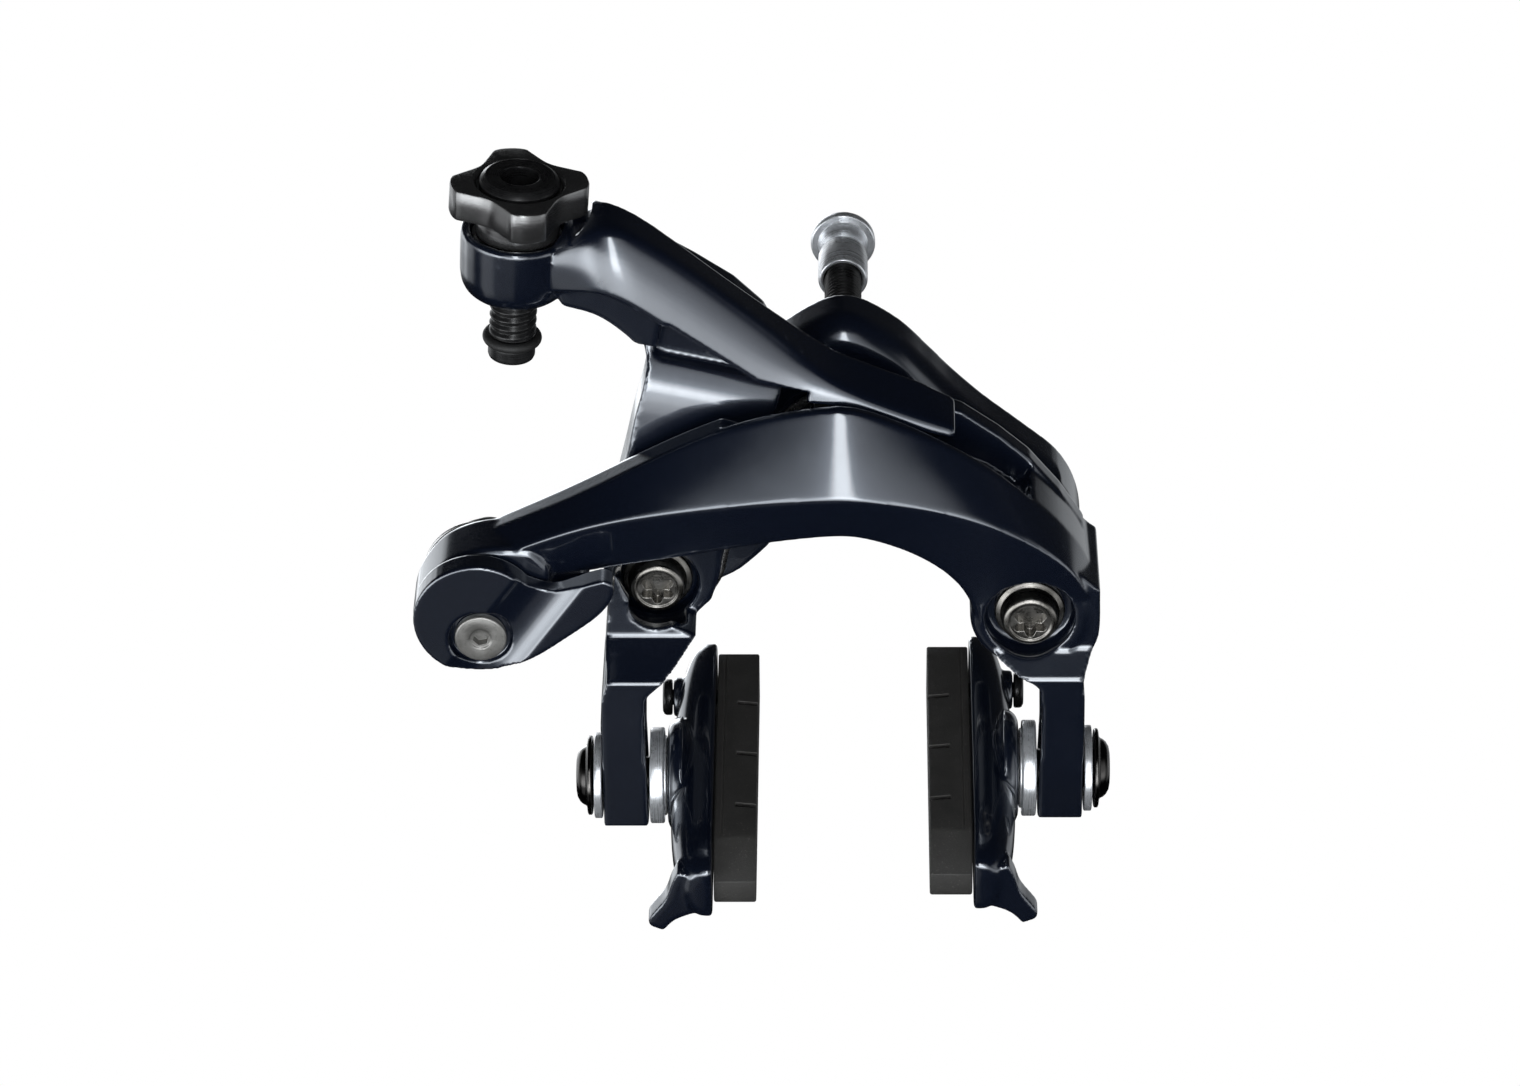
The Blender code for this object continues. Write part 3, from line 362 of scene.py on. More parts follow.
def block(name, lo, hi, bevel=0.0):
    bm = bmesh.new()
    bmesh.ops.create_cube(bm, size=1)
    for v in bm.verts:
        v.co = Vector([(lo[i] + (v.co[i] + 0.5) * (hi[i] - lo[i])) * MM for i in range(3)])
    ob = from_bmesh(name, bm)
    if bevel:
        bevelled(ob, bevel)
    return ob


def loft(name, rings, creases, cap_crease=0.6):
    """A body through unlike sections; creases run along it from the ring points they name."""
    bm = bmesh.new()
    rows = [[bm.verts.new(Vector(p) * MM) for p in r] for r in rings]
    count = len(rows[0])
    for a, b in zip(rows, rows[1:]):
        for i in range(count):
            j = (i + 1) % count
            bm.faces.new((a[i], a[j], b[j], b[i]))
    bm.faces.new(rows[0])
    bm.faces.new(list(reversed(rows[-1])))
    layer = bm.edges.layers.float.new("crease_edge")
    for a, b in zip(rows, rows[1:]):
        for i, crease in creases.items():
            bm.edges.get((a[i], b[i]))[layer] = crease
    for r in (rows[0], rows[-1]):
        for i in range(count):
            bm.edges.get((r[i], r[(i + 1) % count]))[layer] = cap_crease
    ob = from_bmesh(name, bm)
    subdivision = ob.modifiers.new("Subdivision", "SUBSURF")
    subdivision.levels = subdivision.render_levels = SUBDIVISIONS
    return ob


def boolean(ob, operation, *others):
    for other in others:
        modifier = ob.modifiers.new(operation.title(), "BOOLEAN")
        modifier.operation = operation
        modifier.object = other
        modifier.solver = "EXACT"


def cut(ob, *others):
    boolean(ob, "DIFFERENCE", *others)


def add(ob, *others):
    boolean(ob, "UNION", *others)


def forged(ob, smooth, voxel=VOXEL):
    """Melts a built-up shape into one skin and rounds its edges, as forging and tumbling do."""
    remesh = ob.modifiers.new("Remesh", "REMESH")
    remesh.mode = "VOXEL"
    remesh.voxel_size = voxel * MM
    remesh.use_smooth_shade = True
    smoothing = ob.modifiers.new("Smooth", "SMOOTH")
    smoothing.factor = 0.5
    smoothing.iterations = smooth


def arc(centre, r, a0, a1, n):
    angles = [math.radians(a0 + (a1 - a0) * i / n) for i in range(n + 1)]
    return [(centre[0] + r * math.cos(a), centre[1] + r * math.sin(a)) for a in angles]


def hexagon(centre, flats, turned_by=0.0):
    r = flats / math.sqrt(3)
    angles = [math.radians(60 * i + turned_by) for i in range(6)]
    return [(centre[0] + r * math.cos(a), centre[1] + r * math.sin(a)) for a in angles]


def star(centre, outer, inner, lobes=6, per_lobe=12):
    """A lobed socket outline with round lobes and softer valleys."""
    points = []
    for k in range(lobes * per_lobe):
        a = math.tau * k / (lobes * per_lobe)
        r = inner + (outer - inner) * (0.5 + 0.5 * math.cos(lobes * a)) ** 0.75
        points.append((centre[0] + r * math.sin(a), centre[1] + r * math.cos(a)))
    return points


def between(a, b, y_shift=0.0):
    return (a[0] + (b[0] - a[0]) * 0.5, a[1] + (b[1] - a[1]) * 0.5 + y_shift,
            a[2] + (b[2] - a[2]) * 0.5)


def mirrored(points):
    return [(-x, z) for x, z in points]


# ---------------------------------------------------------------- rear bridge
# (x, z) of the right half, from the top middle round to the bottom middle
BRIDGE_HALF = [
    (0, 20.0), (3.1, 19.3), (8.8, 15.6), (13.0, 11.2), (16.9, 6.9), (22.0, 2.0), (28.0, -3.0),
    (33.5, -8.0), (36.4, -13.5), (37.2, -19.5), (35.8, -24.8), (32.4, -28.0), (28.7, -28.9),
    (24.0, -28.2), (19.8, -26.4), (16.6, -24.6), (13.6, -22.0), (9.5, -17.5), (5.0, -15.0),
    (0, -14.2)]
BRIDGE = fair(BRIDGE_HALF + mirrored(reversed(BRIDGE_HALF[1:-1])))
# (x, z) of the right-hand pocket in the rear face
BRIDGE_POCKET = [(12.6, 6.4), (20.0, -0.6), (27.6, -8.0), (24.4, -12.6), (18.4, -14.0),
                 (13.4, -9.6), (11.4, -2.0)]


def bridge_roll():
    """Room in front of the bridge above a surface that rolls back over its top edge."""
    top = sorted({(round(x, 3), z) for x, z in BRIDGE if z > -9.0 and abs(x) < 34.5})
    front, roll, above = BRIDGE_Y[0], BRIDGE_ROLL_R, 6
    rows = []                                  # (y, rise over the outline)
    for k in range(9):
        t = math.radians(90 * k / 8)
        rows.append((front + roll * (1 - math.sin(t)) - 0.02, -roll * (1 - math.cos(t))))
    rows += [(front - 3, -roll), (front - 3, above), (front + roll, above)]
    bm = bmesh.new()
    grid = [[bm.verts.new((x * MM, y * MM, (z + rise) * MM)) for x, z in top] for y, rise in rows]
    for a, b in zip(grid, grid[1:] + grid[:1]):
        for i in range(len(top) - 1):
            bm.faces.new((a[i], a[i + 1], b[i + 1], b[i]))
    bm.faces.new([r[0] for r in grid])
    bm.faces.new([r[-1] for r in reversed(grid)])
    return from_bmesh("bridge_roll", bm)


rear_bridge = plate("rear_bridge", BRIDGE, "XZ", *BRIDGE_Y)
cut(rear_bridge,
    bridge_roll(),
    plate("bridge_pocket_r", fair(BRIDGE_POCKET, 6), "XZ", -4.6, 3),
    plate("bridge_pocket_l", fair(mirrored(BRIDGE_POCKET), 6), "XZ", -4.6, 3),
    along_y("bridge_bolt_bore", rod(3.15, -20, 5)),
    *[along_y(f"bridge_{tag}_pivot_bore", rod(PIVOT_R + 0.1, -20, -2.9), PIVOT[side])
      for side, tag in SIDES],
    along_x("centring_screw_bore", rod(1.6, 31.5, 45), CENTRING_Y, CENTRING_Z))
forged(rear_bridge, smooth=12)

# ---------------------------------------------------------------- mounting hardware
# the washer's rear face carries fine V grooves
mounting_washer = along_y("mounting_washer", ring(3.2, 8.0, -2.0, 0.0, 0.3), loop=True, soft=0.1)
cut(mounting_washer,
    *[along_y(f"washer_rib_{k}", [(r, 0.5), (r + 0.28, 0.5), (r + 0.14, -0.16)], loop=True)
      for k, r in enumerate((4.4, 5.3, 6.2, 7.1))])

mounting_bolt = threaded("mounting_bolt", [
    (0.05, 46.0), (2.4, 46.0), (2.98, 45.3), (2.98, -12.2), (4.5, -12.2), (4.7, -12.5),
    (4.7, -15.7), (4.5, -16.05), (4.2, -16.2), (2.55, -16.2), (2.45, -13.4), (0.05, -13.4)],
    ALONG_Y, sides=48, start=12.0, end=45.2, pitch=1.0, depth=0.45, least_radius=2.9)
cut(mounting_bolt, plate("mounting_bolt_socket", hexagon((0, 0), 5.0), "XZ", -20, -13.0))

along_y("sunk_nut", [
    (3.15, 50.6), (3.5, 50.6), (4.3, 50.6), (4.85, 50.35), (5.2, 49.8), (5.25, 49.3),
    (5.25, 48.6), (5.05, 48.4), (4.0, 48.4), (3.98, 47.6), (3.78, 46.8), (3.72, 45.4),
    (3.86, 44.4), (4.0, 43.6), (4.0, 37.1), (3.8, 36.6), (3.5, 36.5), (3.15, 36.7)],
    loop=True, soft=0.12)

# it lies sideways in the bridge's right end
centring_screw = along_x("centring_screw", rod(1.5, 32.0, 39.4, 0.3), CENTRING_Y, CENTRING_Z,
                         soft=0.06)
cut(centring_screw,
    plate("centring_screw_socket", hexagon((CENTRING_Y, CENTRING_Z), 1.5), "YZ", 38.2, 41))


def pivot_set(side, tag):
    """Bolt, bush and thrust washer of one arm pivot."""
    face = PIVOT_FACE_Y[side]
    seat = face + PIVOT_HEAD
    at = PIVOT[side]
    bolt = along_y(f"{tag}_pivot_bolt", [
        (0, -3.1), (PIVOT_R, -3.1), (PIVOT_R, seat - 0.2), (5.2, seat - 0.2), (5.4, seat - 0.4),
        (5.4, seat - 1.3), (5.25, seat - 1.5), (4.55, seat - 1.75), (4.3, seat - 2.3),
        (4.25, face + 0.6), (4.05, face + 0.2), (3.65, face), (3.3, face), (3.15, face + 0.15),
        (2.95, face + 0.15), (0, face + 0.15)], at, soft=0.05)
    cut(bolt, plate(f"{tag}_pivot_bolt_socket", star(at, 2.75, 1.85), "XZ", face - 2, face + 2.4))
    along_y(f"{tag}_pivot_bush", ring(PIVOT_R + 0.08, BUSH_R, seat, ARM_REAR_Y - 0.1), at,
            loop=True, soft=0.08)
    along_y(f"{tag}_thrust_washer",
            ring(PIVOT_R + 0.1, 6.6, ARM_REAR_Y + 0.15, BRIDGE_Y[0] - 0.15), at,
            loop=True, soft=0.08)


for side, tag in SIDES:
    pivot_set(side, tag)

# ---------------------------------------------------------------- front arm
# One row per station along the arm, from the lever end to the right pivot: top edge, ridge, bottom
# edge, each (x, z, y), then the depth of the rear face at the top and at the bottom.
FRONT_ARM = [
    ((-57.5, -7.4, -30.0), (-56.6, -8.0, -34.2), (-55.6, -9.0, -35.4), -27.0, -27.0),
    ((-54.0, -5.6, -30.0), (-53.0, -7.2, -35.4), (-51.5, -9.6, -35.2), -26.2, -26.4),
    ((-48.5, -3.2, -30.0), (-47.2, -4.2, -36.0), (-46.2, -11.0, -34.2), -25.6, -25.8),
    ((-42.0, -0.2, -30.0), (-40.5, -1.6, -36.0), (-41.0, -11.1, -34.0), -25.2, -25.4),
    ((-35.0, 3.6, -30.0), (-33.0, 0.3, -36.0), (-34.5, -9.6, -34.0), -25.0, -25.0),
    ((-23.0, 10.4, -30.0), (-21.5, 1.9, -36.0), (-23.2, -7.9, -34.0), -25.0, -25.0),
    ((-12.5, 14.4, -30.2), (-11.5, 3.1, -36.2), (-12.6, -5.6, -34.0), -25.0, -25.0),
    ((-2.2, 16.2, -30.6), (-2.2, 3.8, -36.6), (-2.2, -4.2, -34.2), -25.0, -24.0),
    ((2.2, 16.0, -30.6), (2.2, 3.7, -36.6), (2.2, -4.2, -34.2), -22.5, -20.5),
    ((9.6, 12.8, -30.2), (11.2, 2.3, -36.2), (9.2, -6.6, -34.0), -17.0, -17.2),
    ((17.0, 8.8, -30.0), (19.0, 0.4, -36.0), (15.0, -10.2, -34.0), -15.2, -15.4),
    ((24.0, 4.0, -29.6), (25.8, -2.7, -35.8), (18.4, -14.2, -33.6), -14.2, -14.4),
    ((31.0, -2.8, -28.6), (31.6, -6.8, -35.0), (19.8, -17.8, -33.2), -14.2, -14.2),
    ((36.4, -9.4, -27.0), (35.6, -11.2, -33.8), (20.3, -20.6, -32.8), -14.2, -14.2),
    ((38.9, -16.5, -25.6), (37.6, -16.0, -32.8), (21.0, -22.8, -32.5), -14.2, -14.2),
]

# outlines seen from the front, (x, z)
LEVER_END = [(-47, -5.6), (-52, -5.3), (-56.5, -6.0), (-60.4, -7.9), (-63.1, -10.8),
             (-65.2, -14.8), (-65.7, -18.2), (-64.4, -21.6), (-61.2, -24.3), (-56, -25.4),
             (-50.6, -24.2), (-46.8, -20.6), (-45.2, -15.0), (-44.6, -9)]
LEVER_RIB = [(-50, -8.2), (-38.8, -8.4), (-38.8, -12.4), (-40.4, -15.6), (-50, -18.0)]
RIGHT_LEG = [(30.3, -55.1), (37.3, -55.1), (37.3, -33.0), (37.1, -29.6), (38.0, -26.8),
             (39.3, -23.6), (39.4, -15.0), (33, -10), (24, -10), (20.4, -17.0), (20.5, -21.5),
             (22.6, -25.6), (26.8, -28.7), (29.4, -30.2), (30.3, -31.2)]
CHANNEL = [(-24, 34), (-24, 13.6), (-12, 9.5), (-6.5, 2.4), (8, 2.4), (13, 3.6), (22, -0.6),
           (26.4, -3.9), (28.2, -2.6), (29.4, 0.2), (29.4, 34)]
REAR_WALL = [(-5.0, 7.0), (-5.0, 11.6), (0, 12.6), (9, 11.0), (18.1, 8.9), (24, 4.6),
             (28.6, 0.5), (33.5, -5.6), (37.5, -12), (30, -14), (18, -6), (9, 5.4)]
# the leg seen from the side, (y, z)
RIGHT_LEG_SIDE = [(-36.0, -56.5), (-36.0, -29.1), (-32.4, -25.4), (-32.4, -8),
                  (ARM_REAR_Y - 0.1, -8), (ARM_REAR_Y - 0.1, -29.4), (-19.4, -36.0),
                  (-26.0, -42.0), (-26.0, -56.5)]


def front_arm_rings():
    rings = []
    for *edges, y_top, y_low in FRONT_ARM:
        top, ridge, low = [(x, y, z) for x, z, y in edges]
        top_rear = (top[0], y_top, top[2] - 0.4)
        low_rear = (low[0], y_low, low[2] + 0.4)
        rings.append([top, between(top, ridge, -0.25), ridge, between(ridge, low, -0.1), low,
                      between(low, low_rear), low_rear, between(low_rear, top_rear), top_rear,
                      between(top_rear, top)])
    return rings


def leg(side, tag, front, profile):
    """The part common to an outline seen from the front and one seen from the side."""
    ob = plate(f"{tag}_leg_solid", fair(front, 4), "XZ", -40, -10)
    boolean(ob, "INTERSECT",
            plate(f"{tag}_leg_side", fair(profile, 4, 30), "YZ", *span(side, 15, 45)))
    bevelled(ob, 0.8, 2)
    return ob


def reach_slot(side, tag):
    """The upright slot in a leg along which the shoe bolt is set."""
    z = SHOE_Z[side]
    outline = (arc((SHOE_Y, z + REACH_TRAVEL + 0.1), SLOT_R, 0, 180, 20)
               + arc((SHOE_Y, z - 0.1), SLOT_R, 180, 360, 20))
    return plate(f"{tag}_reach_slot", outline, "YZ", *span(side, 26, 45))


front_arm = loft("front_arm", front_arm_rings(), {0: 0.7, 2: 0.9, 4: 0.7, 6: 0.5, 8: 0.5})
add(front_arm,
    plate("lever_end_solid", fair(LEVER_END, 4), "XZ", -36.0, -26.2, bevel=1.0),
    plate("lever_rib_solid", fair(LEVER_RIB, 3, 60), "XZ", -33.6, -27.2, bevel=0.5, segs=2),
    plate("rear_wall_solid", REAR_WALL, "XZ", -19.4, -15.2, bevel=0.6, segs=2),
    along_y("right_boss_solid", rod(9.2, -32.7, ARM_REAR_Y, 0.7), PIVOT[1]),
    leg(1, "right", RIGHT_LEG, RIGHT_LEG_SIDE))
cut(front_arm,
    along_y("lever_hub_bore", rod(HUB_R + 0.15, -45, -20), HUB),
    along_y("lever_clearance", rod(22.6, -50, -36.05), HUB),
    plate("link_channel", CHANNEL, "XZ", -28.6, -19.0),
    along_y("roller_axle_bore", rod(AXLE_R + 0.08, -32.0, -12), ROLLER),
    along_y("right_bolt_recess", rod(6.9, -50, -29.5), PIVOT[1]),
    along_y("right_bush_bore", rod(BUSH_BORE_R, -30, -10), PIVOT[1]),
    reach_slot(1, "right"))
forged(front_arm, smooth=7)

along_y("roller_axle", rod(AXLE_R, -31.6, -15.3, 0.2), ROLLER, soft=0.06)
along_y("link_roller", ring(AXLE_R + 0.12, ROLLER_R, -27.2, -20.8, 0.3), ROLLER,
        loop=True, soft=0.08)

# ---------------------------------------------------------------- adjuster arm
# One row per station along the bar, from the cup to the tongue: x, then the upper front, lower
# front, upper rear and lower rear edge, each (z, y).
BAR = [
    (-44.6, (38.8, -22.9), (31.8, -22.7), (38.8, -12.6), (31.6, -12.6)),
    (-40.6, (41.9, -24.8), (33.4, -25.4), (42.6, -12.2), (31.3, -12.6)),
    (-35.6, (44.8, -25.2), (35.0, -28.0), (45.4, -17.5), (31.4, -15.5)),
    (-30.0, (42.4, -25.1), (31.2, -28.0), (43.0, -18.5), (28.2, -16.0)),
    (-21.5, (36.2, -25.1), (24.8, -28.0), (35.8, -19.0), (21.5, -16.0)),
    (-10.0, (26.4, -25.3), (16.3, -28.0), (26.4, -19.0), (14.0, -16.5)),
    (-5.6, (22.0, -25.7), (15.7, -28.0), (23.2, -19.2), (13.6, -19.0)),
    (-1.2, (18.4, -27.2), (15.4, -28.0), (20.1, -19.6), (13.0, -19.5)),
    (6.0, (15.2, -27.7), (12.9, -28.1), (17.4, -19.8), (12.6, -19.7)),
    (12.6, (12.6, -27.7), (10.3, -28.1), (14.7, -20.0), (10.2, -19.8)),
    (17.0, (11.0, -27.6), (9.6, -27.9), (12.2, -20.4), (9.6, -20.0)),
]

# outlines seen from the front, (x, z)
WEB = [(-36.0, -12), (-35.0, -5.0), (-33.2, 3.0), (-31.8, 9.4), (-30.4, 14.6), (-29.9, 18.6),
       (-31.0, 22.2), (-33.6, 25.2), (-37.4, 28.0), (-42.5, 29.6), (-44, 36), (-36, 42),
       (-28, 38), (-12, 26), (-9.2, 15), (-10.4, 10), (-13.5, 1.5), (-16.5, -8.0),
       (-18.6, -15.5), (-20.4, -23.5), (-30, -27), (-36.4, -22.0)]
LEFT_LEG = [(-37.3, -56.7), (-30.3, -56.7), (-30.3, -33.0), (-29.4, -31.6), (-24.2, -26.8),
            (-20.6, -22.8), (-18.8, -17), (-18.8, -10), (-36, -10), (-36.8, -14),
            (-36.2, -19.5), (-36.7, -26.3), (-36.5, -30), (-37.3, -33.5)]
LEFT_RECESS = [(-41, -10), (-37.6, -12.6), (-35.0, -14.6), (-33.4, -18.0), (-31.4, -20.8),
               (-28.7, -22.5), (-25.0, -24.0), (-21.6, -25.6), (-17, -27.4), (-13, -27.4),
               (-13, -6), (-41, -6)]
WEB_POCKET = [(-26.8, 29.4), (-28.8, 19.2), (-27.6, 18.4), (-10.6, 14.4), (-9.6, 16.8)]
CAM_TOP = [(10.4, 11.7), (6.0, 13.3), (-4.4, 13.9)]
CAM_ROOM = [(-4.8, 4), (10.8, 4), (10.8, 12.0), (6.1, 13.6), (-4.8, 14.2)]
# seen from the side, (y, z)
LEFT_LEG_SIDE = [(-36.0, -58), (-36.0, -29.8), (-29.6, -25.2), (-28.9, -16), (-28.6, -8),
                 (ARM_REAR_Y - 0.1, -8), (ARM_REAR_Y - 0.1, -29.4), (-19.4, -36), (-26, -42),
                 (-26, -58)]
WEB_FACE = [(-40, 4.0), (-18.2, 4.0), (-18.9, 0.9), (-20.1, -0.8), (-21.0, -2.5),
            (-21.65, -4.6), (-22.1, -7.2), (-22.5, -10.4), (-23.0, -14.5), (-40, -14.5)]

LEAN = Matrix.Rotation(math.atan2(BARREL_TOP[0] - BARREL_END[0], BARREL_TOP[2] - BARREL_END[2]),
                       4, "Y")
LEAN_AXIS = tuple(LEAN.to_3x3().col[2])
BARREL_PLACE = shift(BARREL_END) @ LEAN


def barrel(h):
    """Height along the leaning barrel axis for a level h of z."""
    return (h - BARREL_END[2]) / LEAN_AXIS[2]


def barrel_profile(profile):
    return [(r, barrel(h)) for r, h in profile]


def on_barrel(name, profile, **options):
    return turned(name, barrel_profile(profile), BARREL_PLACE, **options)


def bar_rings():
    rings = []
    for x, *edges in BAR:
        top_front, low_front, top_rear, low_rear = [(x, y, z) for z, y in edges]
        bow = 0.58 if x < -3 else 0.1            # the front face bows forward
        rings.append([top_front, between(top_front, low_front, -bow), low_front,
                      between(low_front, low_rear), low_rear, between(low_rear, top_rear),
                      top_rear, between(top_rear, top_front)])
    return rings


def cam_z(x):
    return ROLLER[1] + ROLLER_R + CAM_GAP + math.sqrt(CAM_R ** 2 - x ** 2) - CAM_R


def web_face():
    """The room in front of the web's face, whose upper edge rolls back."""
    ob = plate("web_face", fair(WEB_FACE, 4, 40), "YZ", -24, 14)
    ob.matrix_basis = shift((-19.6, 0, 16.5)) @ turn(12.4, "Y")
    return ob


adjuster_arm = loft("adjuster_arm", bar_rings(), {0: 0.25, 2: 0.8, 4: 0.5, 6: 0.7})
add(adjuster_arm,
    on_barrel("cup_solid", [(0, 40.0), (8.2, 40.0), (8.5, 39.7), (8.5, 37.0), (8.4, 33.0),
                            (8.15, 31.4), (7.6, 30.3), (6.7, 29.5), (5.4, 29.1), (0, 29.0)]),
    plate("web_solid", fair(WEB, 3), "XZ", -23.0, ARM_REAR_Y, bevel=0.8, segs=2),
    leg(-1, "left", LEFT_LEG, LEFT_LEG_SIDE))
cut(adjuster_arm,
    web_face(),
    plate("web_pocket", WEB_POCKET, "XZ", -40, -17.2),
    on_barrel("cup_bore", [(0, 60), (7.1, 60), (7.1, 38.4), (ROD_BORE_R, 38.4),
                           (ROD_BORE_R, 10), (0, 10)]),
    on_barrel("knob_clearance", rod(10.95, 42.6, 60)),
    plate("cam_pocket", CAM_ROOM, "XZ", -27.4, -18.0),
    plate("left_recess", fair(LEFT_RECESS, 4, 60), "XZ", -50, -23.0),
    along_y("left_bolt_recess", rod(6.3, -27.4, -20.1), PIVOT[-1]),
    along_y("left_bolt_access", rod(3.3, -50, -20.1), PIVOT[-1]),
    along_y("left_bush_bore", rod(BUSH_BORE_R, -30, -10), PIVOT[-1]),
    reach_slot(-1, "left"))
forged(adjuster_arm, smooth=7)

# the pad over the roller: its underside is an arc of the cam's radius
CAM_X = [-4.4 + 14.8 * i / 40 for i in range(41)]
plate("cam_pad", [(x, cam_z(x)) for x in CAM_X] + CAM_TOP, "XZ", -27.1, -20.9,
      bevel=0.12, segs=2, angle=50)

# ---------------------------------------------------------------- barrel adjuster
on_barrel("detent_washer", ring(ROD_R + 0.3, 6.8, 38.6, 39.2), loop=True, soft=0.06)

BARREL_BOLT = [
    (2.9, 48.75), (3.05, 48.9), (5.2, 48.9), (5.75, 48.55), (6.1, 48.0), (6.1, 47.25),
    (6.0, 47.2), (ROD_R, 47.2), (ROD_R, 22.0), (2.95, 21.8), (2.9, 20.4), (3.55, 20.2),
    (ROD_R, 20.0), (ROD_R, 18.4), (3.45, 18.0), (3.1, 17.8), (1.0, 17.8), (1.0, 41.0),
    (2.9, 41.0)]
threaded("barrel_bolt", barrel_profile(BARREL_BOLT), BARREL_PLACE, sides=72,
         start=barrel(22.1), end=barrel(46.5), pitch=1.45, depth=0.42, least_radius=3.5)

O_RING_R, O_RING_SECTION_R, O_RING_Z = 3.75, 0.78, 21.1
on_barrel("barrel_o_ring", [
    (O_RING_R + O_RING_SECTION_R * math.cos(math.tau * -k / 20),
     O_RING_Z + O_RING_SECTION_R * math.sin(math.tau * -k / 20)) for k in range(20)], loop=True)


def knob_outline():
    """Four flat-ended lobes joined by hollow flanks."""
    polar = []
    for k in range(4):
        a0 = math.radians(90 * k + 11)
        for i in range(-3, 4):
            polar.append((10.5 - 0.22 * abs(i / 3) ** 3, a0 + math.radians(13.2 * i / 3)))
        for i in range(19):
            t = i / 18
            polar.append((10.1 - 2.55 * math.sin(math.pi * t) ** 0.85,
                          a0 + math.radians(15.4 + (63 - 3.8) * t)))
    return [(r * math.cos(a), r * math.sin(a)) for r, a in polar]


barrel_knob = plate("barrel_knob", knob_outline(), "XY", barrel(43.0), barrel(48.0),
                    bevel=0.42, segs=2, angle=50)
barrel_knob.matrix_basis = BARREL_PLACE
add(barrel_knob, on_barrel("knob_skirt_solid", rod(6.4, 39.4, 43.5, 0.2)))
cut(barrel_knob, on_barrel("knob_bore", [
    (0, 60), (6.9, 60), (6.9, 47.95), (6.5, 47.5), (6.5, 47.0), (ROD_BORE_R, 47.0),
    (ROD_BORE_R, 30), (0, 30)]))

# ---------------------------------------------------------------- quick-release lever
# (x, z) of the thumb end, from the hub's arc round and back to it
LEVER_TAIL = [(-52.91, -24.87), (-50.6, -23.9), (-46.6, -21.9), (-41.8, -18.4), (-37.6, -15.0),
              (-35.6, -12.6), (-34.7, -10.3), (-34.9, -8.8), (-36.2, -8.3), (-38.4, -8.8),
              (-41.0, -9.8), (-43.4, -10.6), (-45.6, -10.4), (-47.92, -9.5)]
LEVER = arc(HUB, 9.75, 38, 286, 36) + fair(LEVER_TAIL, 4, 60)[4:-4]

qr_lever = plate("qr_lever", LEVER, "XZ", -40.3, -36.4)
thumb_scoop = turned("thumb_scoop", rod(9.0, -30, 30))
thumb_scoop.matrix_basis = shift((-48.1, -48.0, -13.9)) @ turn(34.9, "Y")
add(qr_lever, along_y("lever_hub_solid", rod(HUB_R, -37.0, -26.6, 0.2), HUB))
cut(qr_lever,
    thumb_scoop,
    along_y("lever_anchor_bore", rod(ANCHOR_R + 0.08, -38.4, -20), ANCHOR),
    along_y("lever_cap_recess", rod(4.8, -50, -38.6), ANCHOR),
    along_y("lever_cap_bore", rod(1.6, -42, -30), ANCHOR))
forged(qr_lever, smooth=7, voxel=VOXEL * 0.7)

qr_cap_screw = along_y("qr_cap_screw", [
    (0, -34.6), (1.45, -34.6), (1.45, -38.75), (3.85, -38.75), (3.95, -38.85), (3.95, -39.8),
    (3.85, -39.95), (3.7, -40.0), (1.75, -40.0), (1.55, -39.8), (0, -39.8)], ANCHOR, soft=0.05)
cut(qr_cap_screw, plate("cap_screw_socket", hexagon(ANCHOR, 2.2, 15), "XZ", -42, -38.4))

# ---------------------------------------------------------------- cable anchor
cable_anchor_shaft = along_y("cable_anchor_shaft", [
    (0, -19.45), (5.2, -19.45), (5.5, -19.75), (5.5, -22.4), (ANCHOR_R, -22.4),
    (ANCHOR_R, -38.2), (1.55, -38.2), (1.55, -33.6), (0, -33.6)], ANCHOR, soft=0.06)
cut(cable_anchor_shaft,
    along_y("anchor_thread_bore", rod(2.5, -28, -10), ANCHOR),
    block("cable_groove", (ANCHOR[0] + 3.3, -20.3, ANCHOR[1] - 8),
          (ANCHOR[0] + 4.7, -19.1, ANCHOR[1] + 8)))
along_y("qr_wave_washer", ring(HUB_R - 0.1, 8.8, -26.05, -25.5), HUB, loop=True, soft=0.06)
along_y("cable_clamp_washer", ring(2.6, 6.4, -17.3, -15.2, 0.25), ANCHOR, loop=True, soft=0.08)
cable_clamp_bolt = along_y("cable_clamp_bolt", [
    (0, -11.4), (3.9, -11.4), (4.3, -11.8), (4.3, -14.8), (4.1, -15.05), (2.4, -15.05),
    (2.4, -27.0), (0, -27.0)], ANCHOR, soft=0.08)
cut(cable_clamp_bolt, plate("clamp_bolt_socket", hexagon(ANCHOR, 4.0), "XZ", -13.4, -9))

# ---------------------------------------------------------------- return spring
# (x, z) of the right half, from its foot up to the middle
SPRING_HALF = [(23.4, -29.6), (21.4, -27.6), (19.6, -24.6), (18.6, -20.5), (17.8, -15.0),
               (15.0, -7.0), (11.4, 0.6), (8.0, 5.4), (4.2, 8.0), (0.0, 8.8)]


def return_spring():
    wire = bpy.data.curves.new("return_spring", "CURVE")
    wire.dimensions = "3D"
    wire.bevel_depth = WIRE_R * MM
    wire.bevel_resolution = 6
    wire.use_fill_caps = True
    spine = mirrored(SPRING_HALF) + list(reversed(SPRING_HALF[:-1]))
    # the curve closes on itself, so its last span is dropped
    path = fair(spine, 6, 180)[:-6] + [spine[-1]]
    curve_body("return_spring", wire, [(x, SPRING_Y, z) for x, z in path])


return_spring()
for side, tag in SIDES:
    x0, x1 = span(side, 25.2, 28.2)
    block(f"{tag}_spring_holder", (x0, -13.9, -30.4), (x1, -12.2, -27.3), bevel=0.25)

# ---------------------------------------------------------------- brake shoes
HOLDER_INNER_X = 20.0
